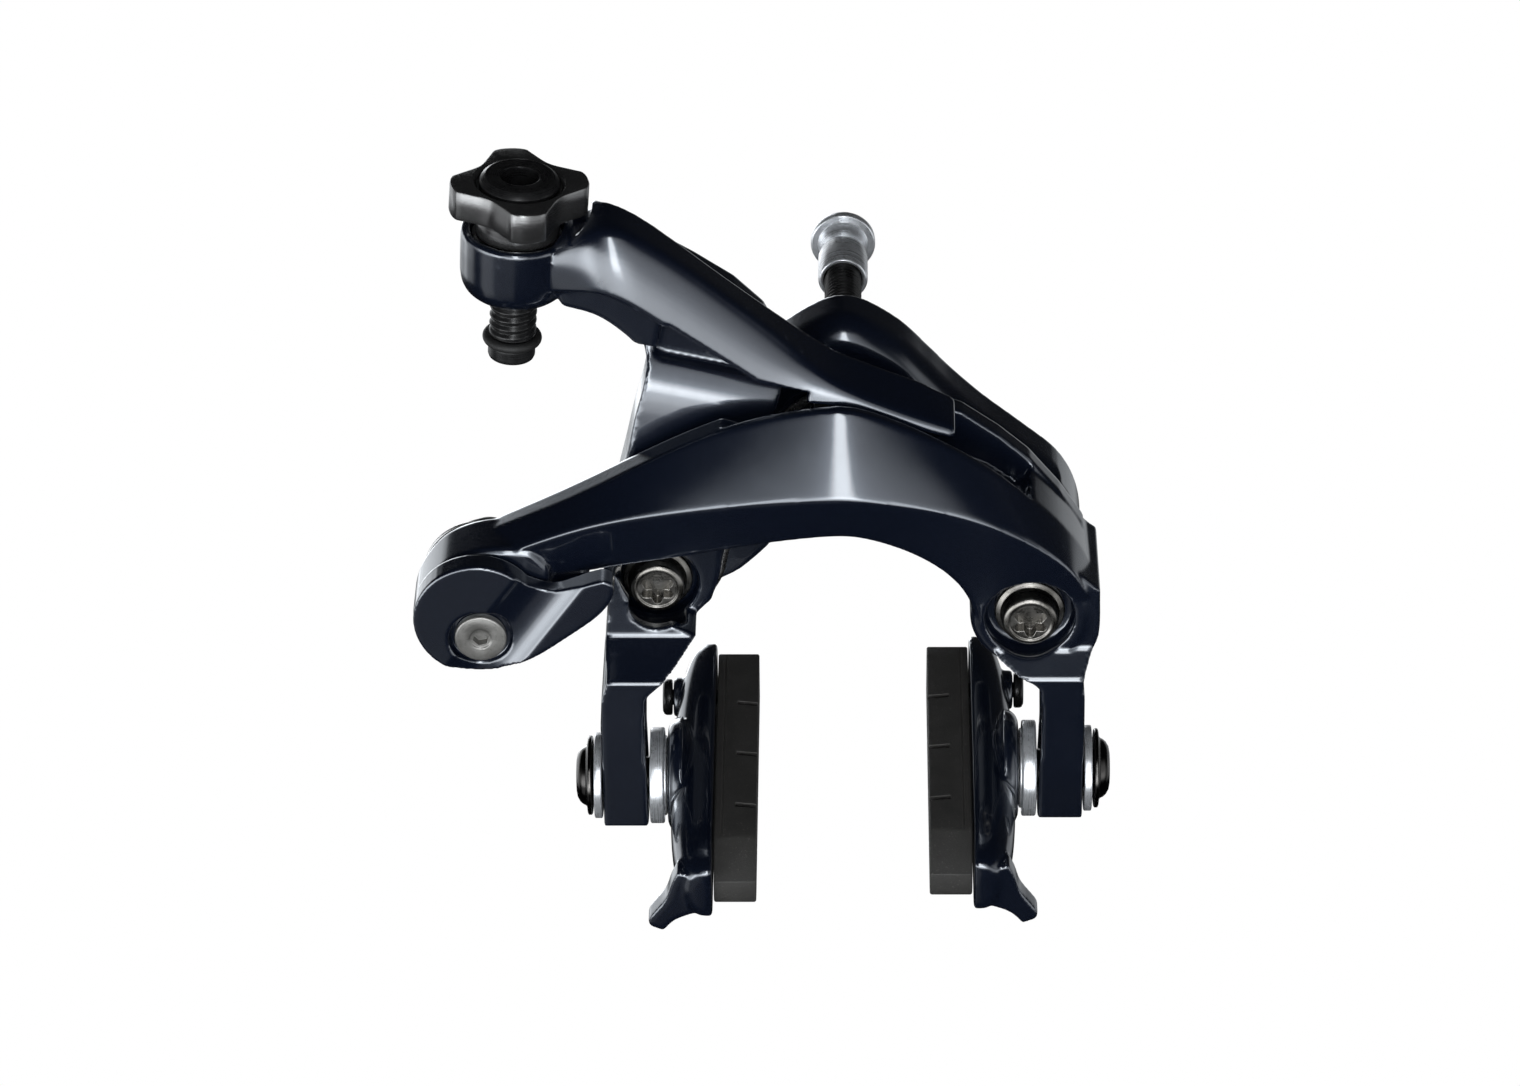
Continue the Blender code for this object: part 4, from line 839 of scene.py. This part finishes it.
# one row per section of the holder, front to rear: y, outer x, reach above and below the bolt
HOLDER = [
    (-58.6, 23.8, 3.4, -5.6), (-56.0, 26.1, 4.8, -6.0), (-44.0, 27.0, 5.6, -5.8),
    (-31.0, 27.0, 5.8, -5.8), (-16.0, 26.7, 6.0, -5.6), (-6.0, 25.2, 5.7, -4.9),
    (-3.4, 23.8, 4.6, -4.0)]
# the hooked tab at the holder's front end: (x outward, z from the bolt)
TAB = [(22.0, 2.0), (25.2, 3.0), (26.2, 0.8), (27.2, -2.4), (29.9, -6.8), (29.6, -7.9),
       (27.6, -8.8), (25.6, -6.6), (22.0, -5.0)]
# the rubber seen from the side: (y, z from the bolt)
PAD = [(-57.3, -2.4), (-57.0, 0.4), (-51.6, 4.3), (-50.4, 4.6), (-8.5, 4.7), (-6.0, 4.4),
       (-6.0, -4.4), (-9, -4.7), (-54.6, -4.7), (-56.6, -4.0)]
PAD_GROOVES_Y = (-44.0, -31.6, -19.2)
# (radius, x outward)
NUB = [(0, 27.3), (7.3, 27.3), (8.3, 26.9), (8.9, 26.2), (9.3, 25.0), (0, 22.0)]
PAD_SCREW = [(0, 28.6), (2.2, 28.6), (2.7, 28.35), (2.85, 28.0), (2.85, 27.3), (2.7, 27.1),
             (1.25, 27.1), (1.25, 17.2), (0, 17.2)]
SHOE_BOLT = [(0, 41.6), (2.6, 41.6), (3.4, 41.45), (4.1, 41.05), (4.5, 40.6), (4.75, 40.1),
             (5.0, 39.95), (5.9, 39.85), (6.2, 39.7), (6.2, 39.25), (6.0, 39.1), (3.0, 38.95),
             (3.0, 21.2), (0, 21.2)]
CONCAVE_WASHER = [(3.7, 30.05), (7.3, 30.05), (7.5, 29.85), (7.5, 28.05), (7.35, 27.87),
                  (6.85, 27.85), (6.7, 28.5), (5.4, 29.25), (3.7, 29.55)]
CONVEX_WASHER = [(3.1, 29.35), (3.7, 29.3), (5.0, 28.95), (5.95, 28.5), (6.25, 27.75),
                 (6.2, 27.5), (6.0, 27.45), (3.1, 27.45)]


def holder_rings(side):
    """The shoe holder along its length: outer face convex, inner face flat against the rubber."""
    rows = []
    inner = HOLDER_INNER_X
    for y, outer, up, down in HOLDER:
        width = outer - inner
        section = ((inner, up), (inner + width * 0.55, up), (inner + width * 0.9, up * 0.62),
                   (outer, 0.0), (inner + width * 0.9, down * 0.62),
                   (inner + width * 0.55, down), (inner, down), (inner, 0.0))
        rows.append([(side * x, y, SHOE_Z[side] + z) for x, z in section])
    return rows


def pitched(ob, side):
    """Turns a shoe piece about the shoe bolt so that its front end drops."""
    tilt = about((0, SHOE_Y, SHOE_Z[side]), Matrix.Rotation(SHOE_PITCH, 4, "X"))
    ob.matrix_basis = tilt @ ob.matrix_basis
    return ob


def on_bolt(side, tag, part, profile, **options):
    """Turned about the shoe bolt."""
    return along_x(f"{tag}_{part}", profile, SHOE_Y, SHOE_Z[side], side, **options)


def on_pad_screw(side, tag, part, profile, **options):
    """Turned about the pad screw, which tilts with the shoe."""
    return pitched(along_x(f"{tag}_{part}", profile, PAD_SCREW_Y, SHOE_Z[side], side, **options),
                   side)


def shoe_holder(side, tag):
    holder = loft(f"{tag}_shoe_holder", holder_rings(side), {0: 0.9, 6: 0.9}, cap_crease=0.4)
    pitched(holder, side)
    tab = plate(f"{tag}_tab_solid", fair([(side * x, SHOE_Z[side] + z) for x, z in TAB], 4),
                "XZ", -58.0, -54.6, bevel=0.5)
    add(holder,
        on_bolt(side, tag, "nub_solid", NUB),
        pitched(tab, side),
        on_pad_screw(side, tag, "screw_boss_solid", rod(3.1, 21.5, 26.9, 0.25)))
    cut(holder,
        on_bolt(side, tag, "nub_bore", rod(3.1, 20.6, 40)),
        on_pad_screw(side, tag, "pad_screw_bore", rod(PAD_SCREW_BORE_R, 16, 40)))
    forged(holder, smooth=9, voxel=VOXEL * 0.9)


def brake_pad(side, tag):
    z = SHOE_Z[side]
    pad = plate(f"{tag}_brake_pad", [(y, z + dz) for y, dz in PAD], "YZ",
                *span(side, PAD_FACE, 19.8), bevel=0.3, segs=2, angle=50)
    x0, x1 = span(side, 10, PAD_FACE + 3.4)
    for k, y in enumerate(PAD_GROOVES_Y):
        groove = block(f"{tag}_pad_groove_{k}", (x0, y - 0.45, z - 9), (x1, y + 0.45, z + 9))
        groove.matrix_basis = about((side * PAD_FACE, y, z), turn(7 * side, "Z"))
        cut(pad, pitched(groove, side))
    # a shallow channel runs along the rubber beside its holder, above and below
    x0, x1 = span(side, 18.4, 18.75)
    for k, dz in enumerate((4.72, -4.72)):
        channel = block(f"{tag}_pad_bead_{k}", (x0, -60, z + dz - 0.28), (x1, -3, z + dz + 0.28))
        cut(pad, pitched(channel, side))
    cut(pad, on_pad_screw(side, tag, "pad_screw_room", rod(PAD_SCREW_BORE_R, 16.8, 30)))
    pitched(pad, side)


def shoe_hardware(side, tag):
    screw = on_pad_screw(side, tag, "pad_screw", PAD_SCREW, soft=0.06)
    cut(screw, on_pad_screw(side, tag, "pad_screw_socket", rod(1.0, 27.7, 30), hexagonal=True))
    bolt = on_bolt(side, tag, "shoe_bolt", SHOE_BOLT, soft=0.05)
    cut(bolt, on_bolt(side, tag, "shoe_bolt_socket", rod(2.3, 39.4, 45), hexagonal=True))
    for part, profile in (("outer_washer", ring(3.7, 6.7, 37.55, 38.75, 0.12)),
                          ("concave_washer", CONCAVE_WASHER), ("convex_washer", CONVEX_WASHER)):
        on_bolt(side, tag, part, profile, loop=True, soft=0.05)


for side, tag in SIDES:
    shoe_holder(side, tag)
    brake_pad(side, tag)
    shoe_hardware(side, tag)


# ---------------------------------------------------------------- shader helpers
class Graph:
    """A node tree with short calls; an input takes either a socket or a plain value."""

    def __init__(self, tree):
        self.tree = tree

    def put(self, socket, value):
        if isinstance(value, bpy.types.NodeSocket):
            self.tree.links.new(value, socket)
        else:
            socket.default_value = value

    def fill(self, node, inputs):
        for key, value in inputs.items():
            self.put(node.inputs[key], value)

    def node(self, kind, inputs=None, **settings):
        node = self.tree.nodes.new("ShaderNode" + kind)
        for key, value in settings.items():
            setattr(node, key, value)
        self.fill(node, inputs or {})
        return node

    def math(self, operation, a, b=None, clamp=False):
        inputs = {0: a} if b is None else {0: a, 1: b}
        return self.node("Math", inputs, operation=operation, use_clamp=clamp).outputs[0]

    def vector(self, operation, a, b=None, scale=None):
        inputs = {0: a}
        if b is not None:
            inputs[1] = b
        if scale is not None:
            inputs["Scale"] = scale
        node = self.node("VectorMath", inputs, operation=operation)
        return node.outputs["Value" if operation in ("DOT_PRODUCT", "LENGTH") else "Vector"]

    def ramp(self, value, over, to=(0.0, 1.0), kind="LINEAR"):
        return self.node("MapRange", {
            "Value": value, "From Min": over[0], "From Max": over[1],
            "To Min": to[0], "To Max": to[1]}, interpolation_type=kind).outputs["Result"]

    def noise(self, vector, scale, detail=3.0, rough=0.55):
        return self.node("TexNoise", {"Scale": scale, "Detail": detail, "Roughness": rough,
                                      "Vector": vector}).outputs["Fac"]

    def mix(self, factor, a, b):
        node = self.node("Mix", {"Factor": factor}, data_type="RGBA")
        for i, color in ((6, a), (7, b)):        # the colour inputs A and B
            is_socket = isinstance(color, bpy.types.NodeSocket)
            self.put(node.inputs[i], color if is_socket else (*color, 1))
        return node.outputs[2]

    def bump(self, height, strength, distance, normal=None):
        inputs = {"Strength": strength, "Distance": distance, "Height": height}
        if normal is not None:
            inputs["Normal"] = normal
        return self.node("Bump", inputs).outputs["Normal"]

    def object_coords(self):
        return self.node("TexCoord").outputs["Object"]

    def lathe_coords(self, point, axis):
        """(radius, height) about an axis, so that marks run round a turned piece."""
        offset = self.vector("SUBTRACT", self.object_coords(), point)
        height = self.vector("DOT_PRODUCT", offset, axis)
        along = self.vector("SCALE", axis, scale=height)
        across = self.vector("SUBTRACT", offset, along)
        radius = self.vector("LENGTH", across)
        rings = self.node("CombineXYZ", {0: radius, 1: height}).outputs[0]
        # a little of the plain position breaks the rings up
        return self.vector("ADD", rings, self.vector("SCALE", across, scale=0.02))

    def edge_mask(self, radius):
        """1 on sharp outer edges and 0 on flats, and the rounded normal it is taken from."""
        rounded = self.node("Bevel", {"Radius": radius}, samples=6).outputs[0]
        normal = self.node("NewGeometry").outputs["Normal"]
        likeness = self.vector("DOT_PRODUCT", rounded, normal)
        return self.ramp(likeness, over=(0.985, 0.90)), rounded


def new_material(name):
    material = bpy.data.materials.new(name)
    material.use_nodes = True
    return material, Graph(material.node_tree), material.node_tree.nodes["Principled BSDF"]


def scaled(factor, color):
    return tuple(factor * c for c in color)


# ---------------------------------------------------------------- materials
def paint():
    """Glossy navy-black anodised forging: clear, deep, with a faint flake and handling marks."""
    material, g, surface = new_material("navy_black_gloss")
    co = g.object_coords()
    flake = g.noise(co, scale=9000, detail=2, rough=0.7)
    cloud = g.noise(co, scale=55, detail=4, rough=0.6)
    wear = g.node("NewGeometry").outputs["Pointiness"]
    edge = g.math("MULTIPLY", g.ramp(wear, over=(0.515, 0.60)),
                  g.ramp(g.noise(co, scale=420, detail=5, rough=0.7), over=(0.42, 0.75)),
                  clamp=True)
    base = g.mix(g.ramp(flake, over=(0.42, 0.72)),
                 (0.0035, 0.0055, 0.0125), (0.007, 0.0105, 0.021))
    base = g.mix(g.math("MULTIPLY", edge, 0.35), base, (0.10, 0.11, 0.13))
    smear = g.noise(co, scale=180, detail=6, rough=0.65)
    g.fill(surface, {
        "Base Color": base,
        "IOR": 1.62,
        "Specular Tint": (0.86, 0.92, 1.0, 1),
        "Roughness": g.math("ADD", g.ramp(cloud, over=(0.3, 0.7), to=(0.19, 0.25)),
                            g.ramp(smear, over=(0.5, 0.8), to=(0.0, 0.05))),
        "Coat Weight": 1.0,
        "Coat IOR": 1.55,
        "Coat Roughness": g.ramp(smear, over=(0.35, 0.75), to=(0.045, 0.085)),
        "Coat Tint": (0.93, 0.96, 1.0, 1),
    })
    peel = g.math("ADD", g.noise(co, scale=520, detail=2, rough=0.5),
                  g.math("MULTIPLY", flake, 0.12))
    g.fill(surface, {"Normal": g.bump(peel, strength=0.05, distance=0.00012)})
    coat_peel = g.noise(co, scale=520, detail=2, rough=0.5)
    g.fill(surface, {"Coat Normal": g.bump(coat_peel, strength=0.03, distance=0.00012)})
    return material


def metal(node, prefix, color, dark, rough, metallic, marks, scuff, edge, edge_color,
          speck=0.0, ior=1.5, radius=0.00018):
    """Metal with cutting marks that run round its axis, patchy oxide, scuffs and rubbed edges."""
    material, g, surface = new_material(f"{prefix}_{node}")
    co = g.object_coords()
    mask, rounded = g.edge_mask(radius)
    if node in TURN_AXIS:
        grain = g.noise(g.lathe_coords(*TURN_AXIS[node]), scale=5200, detail=3, rough=0.6)
    else:
        grain = g.noise(co, scale=2600, detail=3, rough=0.6)
    patch = g.noise(co, scale=330, detail=5, rough=0.65)
    dirt = g.noise(co, scale=1500, detail=5, rough=0.75)
    base = g.mix(g.ramp(patch, over=(0.35, 0.68)), dark, color)
    base = g.mix(g.ramp(grain, over=(0.35, 0.7), to=(0.0, 0.35)), base,
                 tuple(0.5 * (a + b) for a, b in zip(color, dark)))
    if speck:
        base = g.mix(g.ramp(dirt, over=(0.56, 0.66), to=(0.0, speck)), base, scaled(0.35, dark))
    rub = g.ramp(g.noise(co, scale=900, detail=4, rough=0.7), over=(0.35, 0.65), to=(0.25, 1.0))
    worn = g.math("MULTIPLY", mask, rub, clamp=True)
    base = g.mix(g.math("MULTIPLY", worn, edge), base, edge_color)
    g.fill(surface, {
        "Base Color": base,
        "Metallic": metallic,
        "IOR": ior,
        "Roughness": g.math("ADD",
                            g.ramp(grain, over=(0.3, 0.7), to=(rough * 0.8, rough * 1.2)),
                            g.ramp(patch, over=(0.4, 0.75), to=(0.0, scuff * 0.25))),
    })
    height = g.math("ADD", grain, g.math("MULTIPLY", dirt, 0.4))
    g.fill(surface, {"Normal": g.bump(height, marks, distance=0.00005, normal=rounded)})
    return material


def rubber(name, color, pale, grain, strength):
    """Moulded compound: dark, speckled with fine grit, slightly dusty on its edges."""
    material, g, surface = new_material(name)
    co = g.object_coords()
    mask, rounded = g.edge_mask(0.00025)
    grit = g.noise(co, scale=grain, detail=3, rough=0.8)
    fine = g.noise(co, scale=grain * 2.3, detail=2, rough=0.8)
    cloud = g.noise(co, scale=240, detail=4, rough=0.6)
    base = g.mix(g.ramp(cloud, over=(0.3, 0.7)), scaled(0.75, color), color)
    base = g.mix(g.ramp(grit, over=(0.60, 0.72), to=(0.0, 0.75)), base, pale)
    base = g.mix(g.ramp(grit, over=(0.36, 0.28), to=(0.0, 0.8)), base, scaled(0.3, color))
    base = g.mix(g.math("MULTIPLY", mask, 0.35), base, pale)
    g.fill(surface, {
        "Base Color": base,
        "Roughness": g.ramp(grit, over=(0.3, 0.7), to=(0.5, 0.72)),
        "IOR": 1.5,
    })
    height = g.math("ADD", grit, g.math("MULTIPLY", fine, 0.5))
    g.fill(surface, {"Normal": g.bump(height, strength, distance=0.00010, normal=rounded)})
    return material


def plastic(name, color):
    material, g, surface = new_material(name)
    co = g.object_coords()
    mask, rounded = g.edge_mask(0.0002)
    grain = g.noise(co, scale=4200, detail=3, rough=0.7)
    base = g.mix(g.ramp(g.noise(co, scale=300, detail=4), over=(0.3, 0.7)),
                 color, scaled(1.5, color))
    base = g.mix(g.math("MULTIPLY", mask, 0.2), base, (0.09, 0.09, 0.09))
    g.fill(surface, {
        "Base Color": base,
        "Roughness": g.ramp(grain, over=(0.3, 0.7), to=(0.38, 0.52)),
        "Normal": g.bump(grain, strength=0.3, distance=0.00005, normal=rounded),
    })
    return material


# the axis each turned piece was cut about: a point in the frame and a direction
TURN_AXIS = {}


def turned_about(x, y, z, axis, *nodes):
    point = (x * MM, y * MM, (z - BOLT_DROP) * MM)
    for node in nodes:
        TURN_AXIS[node] = (point, axis)


Y_AXIS, X_AXIS = (0.0, 1.0, 0.0), (1.0, 0.0, 0.0)
turned_about(0, 0, 0, Y_AXIS, "mounting_washer", "mounting_bolt", "sunk_nut")
turned_about(*BARREL_END, LEAN_AXIS, "barrel_bolt", "barrel_o_ring", "barrel_knob",
             "detent_washer")
turned_about(ANCHOR[0], 0, ANCHOR[1], Y_AXIS, "qr_cap_screw", "cable_anchor_shaft",
             "cable_clamp_washer", "cable_clamp_bolt")
turned_about(ROLLER[0], 0, ROLLER[1], Y_AXIS, "roller_axle", "link_roller")
turned_about(HUB[0], 0, HUB[1], Y_AXIS, "qr_wave_washer")
turned_about(0, CENTRING_Y, CENTRING_Z, X_AXIS, "centring_screw")
for side, tag in SIDES:
    turned_about(side * PIVOT_X, 0, PIVOT_Z, Y_AXIS,
                 f"{tag}_pivot_bolt", f"{tag}_pivot_bush", f"{tag}_thrust_washer")
    turned_about(0, SHOE_Y, SHOE_Z[side], X_AXIS, f"{tag}_shoe_bolt", f"{tag}_outer_washer",
                 f"{tag}_concave_washer", f"{tag}_convex_washer")
    reach = PAD_SCREW_Y - SHOE_Y
    turned_about(0, SHOE_Y + reach * math.cos(SHOE_PITCH),
                 SHOE_Z[side] + reach * math.sin(SHOE_PITCH), X_AXIS, f"{tag}_pad_screw")

PAINT = paint()
RUBBER = rubber("brake_compound", color=(0.045, 0.0435, 0.041), pale=(0.14, 0.135, 0.125),
                grain=2600, strength=0.5)
SEAL = rubber("seal_rubber", color=(0.012, 0.012, 0.012), pale=(0.03, 0.03, 0.03),
              grain=3000, strength=0.15)
PLASTIC = plastic("moulded_black", (0.014, 0.014, 0.014))

METALS = {
    "silver": dict(
        prefix="silver", color=(0.83, 0.85, 0.88), dark=(0.68, 0.70, 0.73), rough=0.27,
        metallic=0.62, marks=0.22, scuff=0.25, edge=0.5, edge_color=(0.93, 0.93, 0.95), ior=2.2),
    "cap_screw": dict(
        prefix="nickel", color=(0.30, 0.295, 0.28), dark=(0.17, 0.165, 0.155), rough=0.36,
        metallic=0.6, marks=0.4, scuff=0.5, speck=0.5, edge=0.5, edge_color=(0.5, 0.49, 0.46),
        ior=1.9),
    "nickel": dict(
        prefix="nickel", color=(0.25, 0.24, 0.225), dark=(0.11, 0.105, 0.095), rough=0.26,
        metallic=1.0, marks=0.35, scuff=0.5, speck=0.55, edge=0.6,
        edge_color=(0.62, 0.60, 0.56)),
    "steel": dict(
        prefix="steel", color=(0.50, 0.50, 0.50), dark=(0.34, 0.335, 0.33), rough=0.26,
        metallic=1.0, marks=0.3, scuff=0.4, speck=0.25, edge=0.5, edge_color=(0.72, 0.72, 0.72)),
    "bronze": dict(
        prefix="bronze", color=(0.50, 0.33, 0.15), dark=(0.32, 0.19, 0.08), rough=0.33,
        metallic=1.0, marks=0.3, scuff=0.5, speck=0.35, edge=0.4, edge_color=(0.7, 0.5, 0.28)),
    "knob_black": dict(
        prefix="knob", color=(0.034, 0.034, 0.034), dark=(0.021, 0.021, 0.0215), rough=0.2,
        metallic=0.0, marks=0.25, scuff=0.2, speck=0.2, edge=0.3,
        edge_color=(0.12, 0.115, 0.11), ior=2.1, radius=0.00015),
    "black_chrome": dict(
        prefix="black_chrome", color=(0.075, 0.072, 0.068), dark=(0.045, 0.043, 0.042),
        rough=0.14, metallic=1.0, marks=0.12, scuff=0.2, edge=0.3, edge_color=(0.2, 0.19, 0.18)),
    "black": dict(
        prefix="black", color=(0.017, 0.017, 0.0175), dark=(0.006, 0.006, 0.0065), rough=0.27,
        metallic=0.0, marks=0.2, scuff=0.25, speck=0.2, edge=0.12, edge_color=(0.05, 0.05, 0.05),
        ior=1.38),
}


def finish_for(node):
    slot = SLOT_OF[node]
    if slot == "arm_paint":
        return PAINT
    if slot == "plastic":
        return PLASTIC
    if slot == "rubber":
        return SEAL if node == "barrel_o_ring" else RUBBER
    if node == "qr_cap_screw" and slot != "silver":
        kind = "cap_screw"
    elif slot in ("silver", "nickel", "steel", "bronze", "knob_black"):
        kind = slot
    else:
        kind = "black_chrome" if "shoe_bolt" in node else "black"
    return metal(node, **METALS[kind])


# ---------------------------------------------------------------- final meshes on their bodies
def cleaned(mesh):
    bm = bmesh.new()
    bm.from_mesh(mesh)
    bmesh.ops.remove_doubles(bm, verts=bm.verts, dist=2e-7)
    bmesh.ops.dissolve_degenerate(bm, dist=1e-7, edges=bm.edges)
    if bm.calc_volume(signed=True) < 0:
        bmesh.ops.reverse_faces(bm, faces=bm.faces)
    bm.to_mesh(mesh)
    bm.free()


bpy.context.view_layer.update()
depsgraph = bpy.context.evaluated_depsgraph_get()
ready = {}
for node, ob in MADE.items():
    mesh = bpy.data.meshes.new_from_object(ob.evaluated_get(depsgraph))
    mesh.transform(shift((0, 0, -BOLT_DROP)) @ ob.matrix_world)
    ready[node] = mesh
rounded_nodes = {node for node, ob in MADE.items() if "Remesh" in ob.modifiers}
for ob in list(WORK.objects):
    bpy.data.objects.remove(ob, do_unlink=True)
bpy.data.collections.remove(WORK)

for node, mesh in ready.items():
    cleaned(mesh)
    mesh.name = f"{node}_skin"
    piece = bpy.data.objects.new(f"{node}_skin", mesh)
    bpy.context.scene.collection.objects.link(piece)
    mesh.shade_smooth()
    if node not in rounded_nodes:
        mesh.set_sharp_from_angle(angle=math.radians(28))
    mesh.materials.clear()
    mesh.materials.append(finish_for(node))
    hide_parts(node)
    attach(piece, BODY_OF[node])

# every solid of the frame has its finish too
for node, ob in frame["nodes"].items():
    ob.data.materials.clear()
    ob.data.materials.append(ready[node].materials[0] if node in ready else finish_for(node))


# ---------------------------------------------------------------- floor
def floor_material():
    """Pale grey to the light, pure white to the camera."""
    material, g, surface = new_material("pale_floor")
    g.fill(surface, {"Base Color": (0.86, 0.86, 0.86, 1), "Roughness": 0.8})
    camera_ray = g.node("LightPath").outputs["Is Camera Ray"]
    white = g.node("Emission", {"Color": (1, 1, 1, 1), "Strength": 1.0})
    mixer = g.node("MixShader", {0: camera_ray, 1: surface.outputs[0], 2: white.outputs[0]})
    g.fill(material.node_tree.nodes["Material Output"], {"Surface": mixer.outputs[0]})
    return material


mesh = bpy.data.meshes.new("floor")
bm = bmesh.new()
bmesh.ops.create_grid(bm, x_segments=8, y_segments=8, size=3.0)
bm.to_mesh(mesh)
bm.free()
floor = bpy.data.objects.new("floor", mesh)
floor.location = (0, 0, CAD_BOX[0][2] - 0.001)
bpy.context.scene.collection.objects.link(floor)
mesh.materials.append(floor_material())
floor.visible_glossy = False

# ---------------------------------------------------------------- studio light
# Soft cards of light in the world, in degrees. Azimuth is 0 in front and grows to the right;
# each card is full within its core and fades over its soft edge.
# azimuth, core, soft, elevation, core, soft, power
CARDS = [
    (1.5, 2.6, 4.2, 22, 20, 9, 9.3),     # narrow strip over the camera
    (8, 6, 28, 22, 16, 12, 0.99),        # its glow, more to the right
    (-14, 20, 16, -4, 7, 9, 3.3),        # bright horizon in front
    (-8, 62, 40, -9, 4, 11, 1.16),       # its wide, lower part
    (0, 70, 40, 2, 6, 18, 0.38),         # its fade upwards
    (-52, 12, 18, -3, 10, 9, 2.85),      # large box at front left
    (-60, 8, 12, -30, 8, 10, 0.5),       # its foot
    (72, 8, 18, 2, 14, 16, 0.6),         # right rim
    (180, 60, 60, 14, 10, 24, 0.012),    # dim backdrop
    (-24, 17, 9, -34, 8, 10, 0.17),      # table glow at the left
    (-165, 3, 6, -8, 14, 8, 3.0),        # strip behind
    (150, 24, 16, -18, 6, 10, 0.4),      # box behind, on the right
    (-150, 24, 16, -12, 10, 12, 1.2),    # box behind, on the left
    (112, 10, 14, -18, 8, 8, 0.5),       # right side, low
    (-112, 10, 14, -16, 8, 10, 0.8),     # left side, low
]
AMBIENT = 0.008

world = bpy.data.worlds.new("studio")
bpy.context.scene.world = world
world.use_nodes = True
world.node_tree.nodes.clear()
g = Graph(world.node_tree)
direction = g.vector("NORMALIZE", g.node("TexCoord").outputs["Generated"])
east, north, up = g.node("SeparateXYZ", {0: direction}).outputs
DEGREES = 180 / math.pi
front = g.math("MULTIPLY", north, -1.0)
azimuth = g.math("MULTIPLY", g.math("ARCTAN2", east, front), DEGREES)
elevation = g.math("MULTIPLY", g.math("ARCSINE", up), DEGREES)


def lobe(angle, centre, core, soft):
    distance = g.math("ABSOLUTE", g.math("SUBTRACT", angle, centre))
    return g.ramp(distance, over=(core, core + soft), to=(1.0, 0.0), kind="SMOOTHSTEP")


total = None
for *shape, power in CARDS:
    patch = g.math("MULTIPLY", lobe(azimuth, *shape[:3]), lobe(elevation, *shape[3:]))
    light = g.math("MULTIPLY", patch, power)
    total = light if total is None else g.math("ADD", total, light)
total = g.math("ADD", total, AMBIENT)

# the camera itself sees plain white
camera_ray = g.node("LightPath").outputs["Is Camera Ray"]
white = g.node("Background", {"Color": (1, 1, 1, 1), "Strength": 1.0})
studio = g.node("Background", {"Color": (0.95, 0.975, 1.0, 1), "Strength": total})
mixer = g.node("MixShader", {0: camera_ray, 1: studio.outputs[0], 2: white.outputs[0]})
g.node("OutputWorld", {"Surface": mixer.outputs[0]})

bpy.context.scene.view_settings.view_transform = "Standard"
bpy.context.scene.view_settings.look = "None"

# ---------------------------------------------------------------- camera
cam_data = bpy.data.cameras.new("camera")
cam = bpy.data.objects.new("camera", cam_data)
bpy.context.scene.collection.objects.link(cam)
cam.location = (0, -0.79506, 0.47951 - BOLT_DROP * MM)
cam.rotation_euler = (math.radians(57.5), 0, 0)
cam_data.sensor_width = 36
cam_data.lens = 140.6842105
cam_data.shift_x = -0.0546052632
cam_data.clip_start, cam_data.clip_end = 0.05, 20
bpy.context.scene.camera = cam
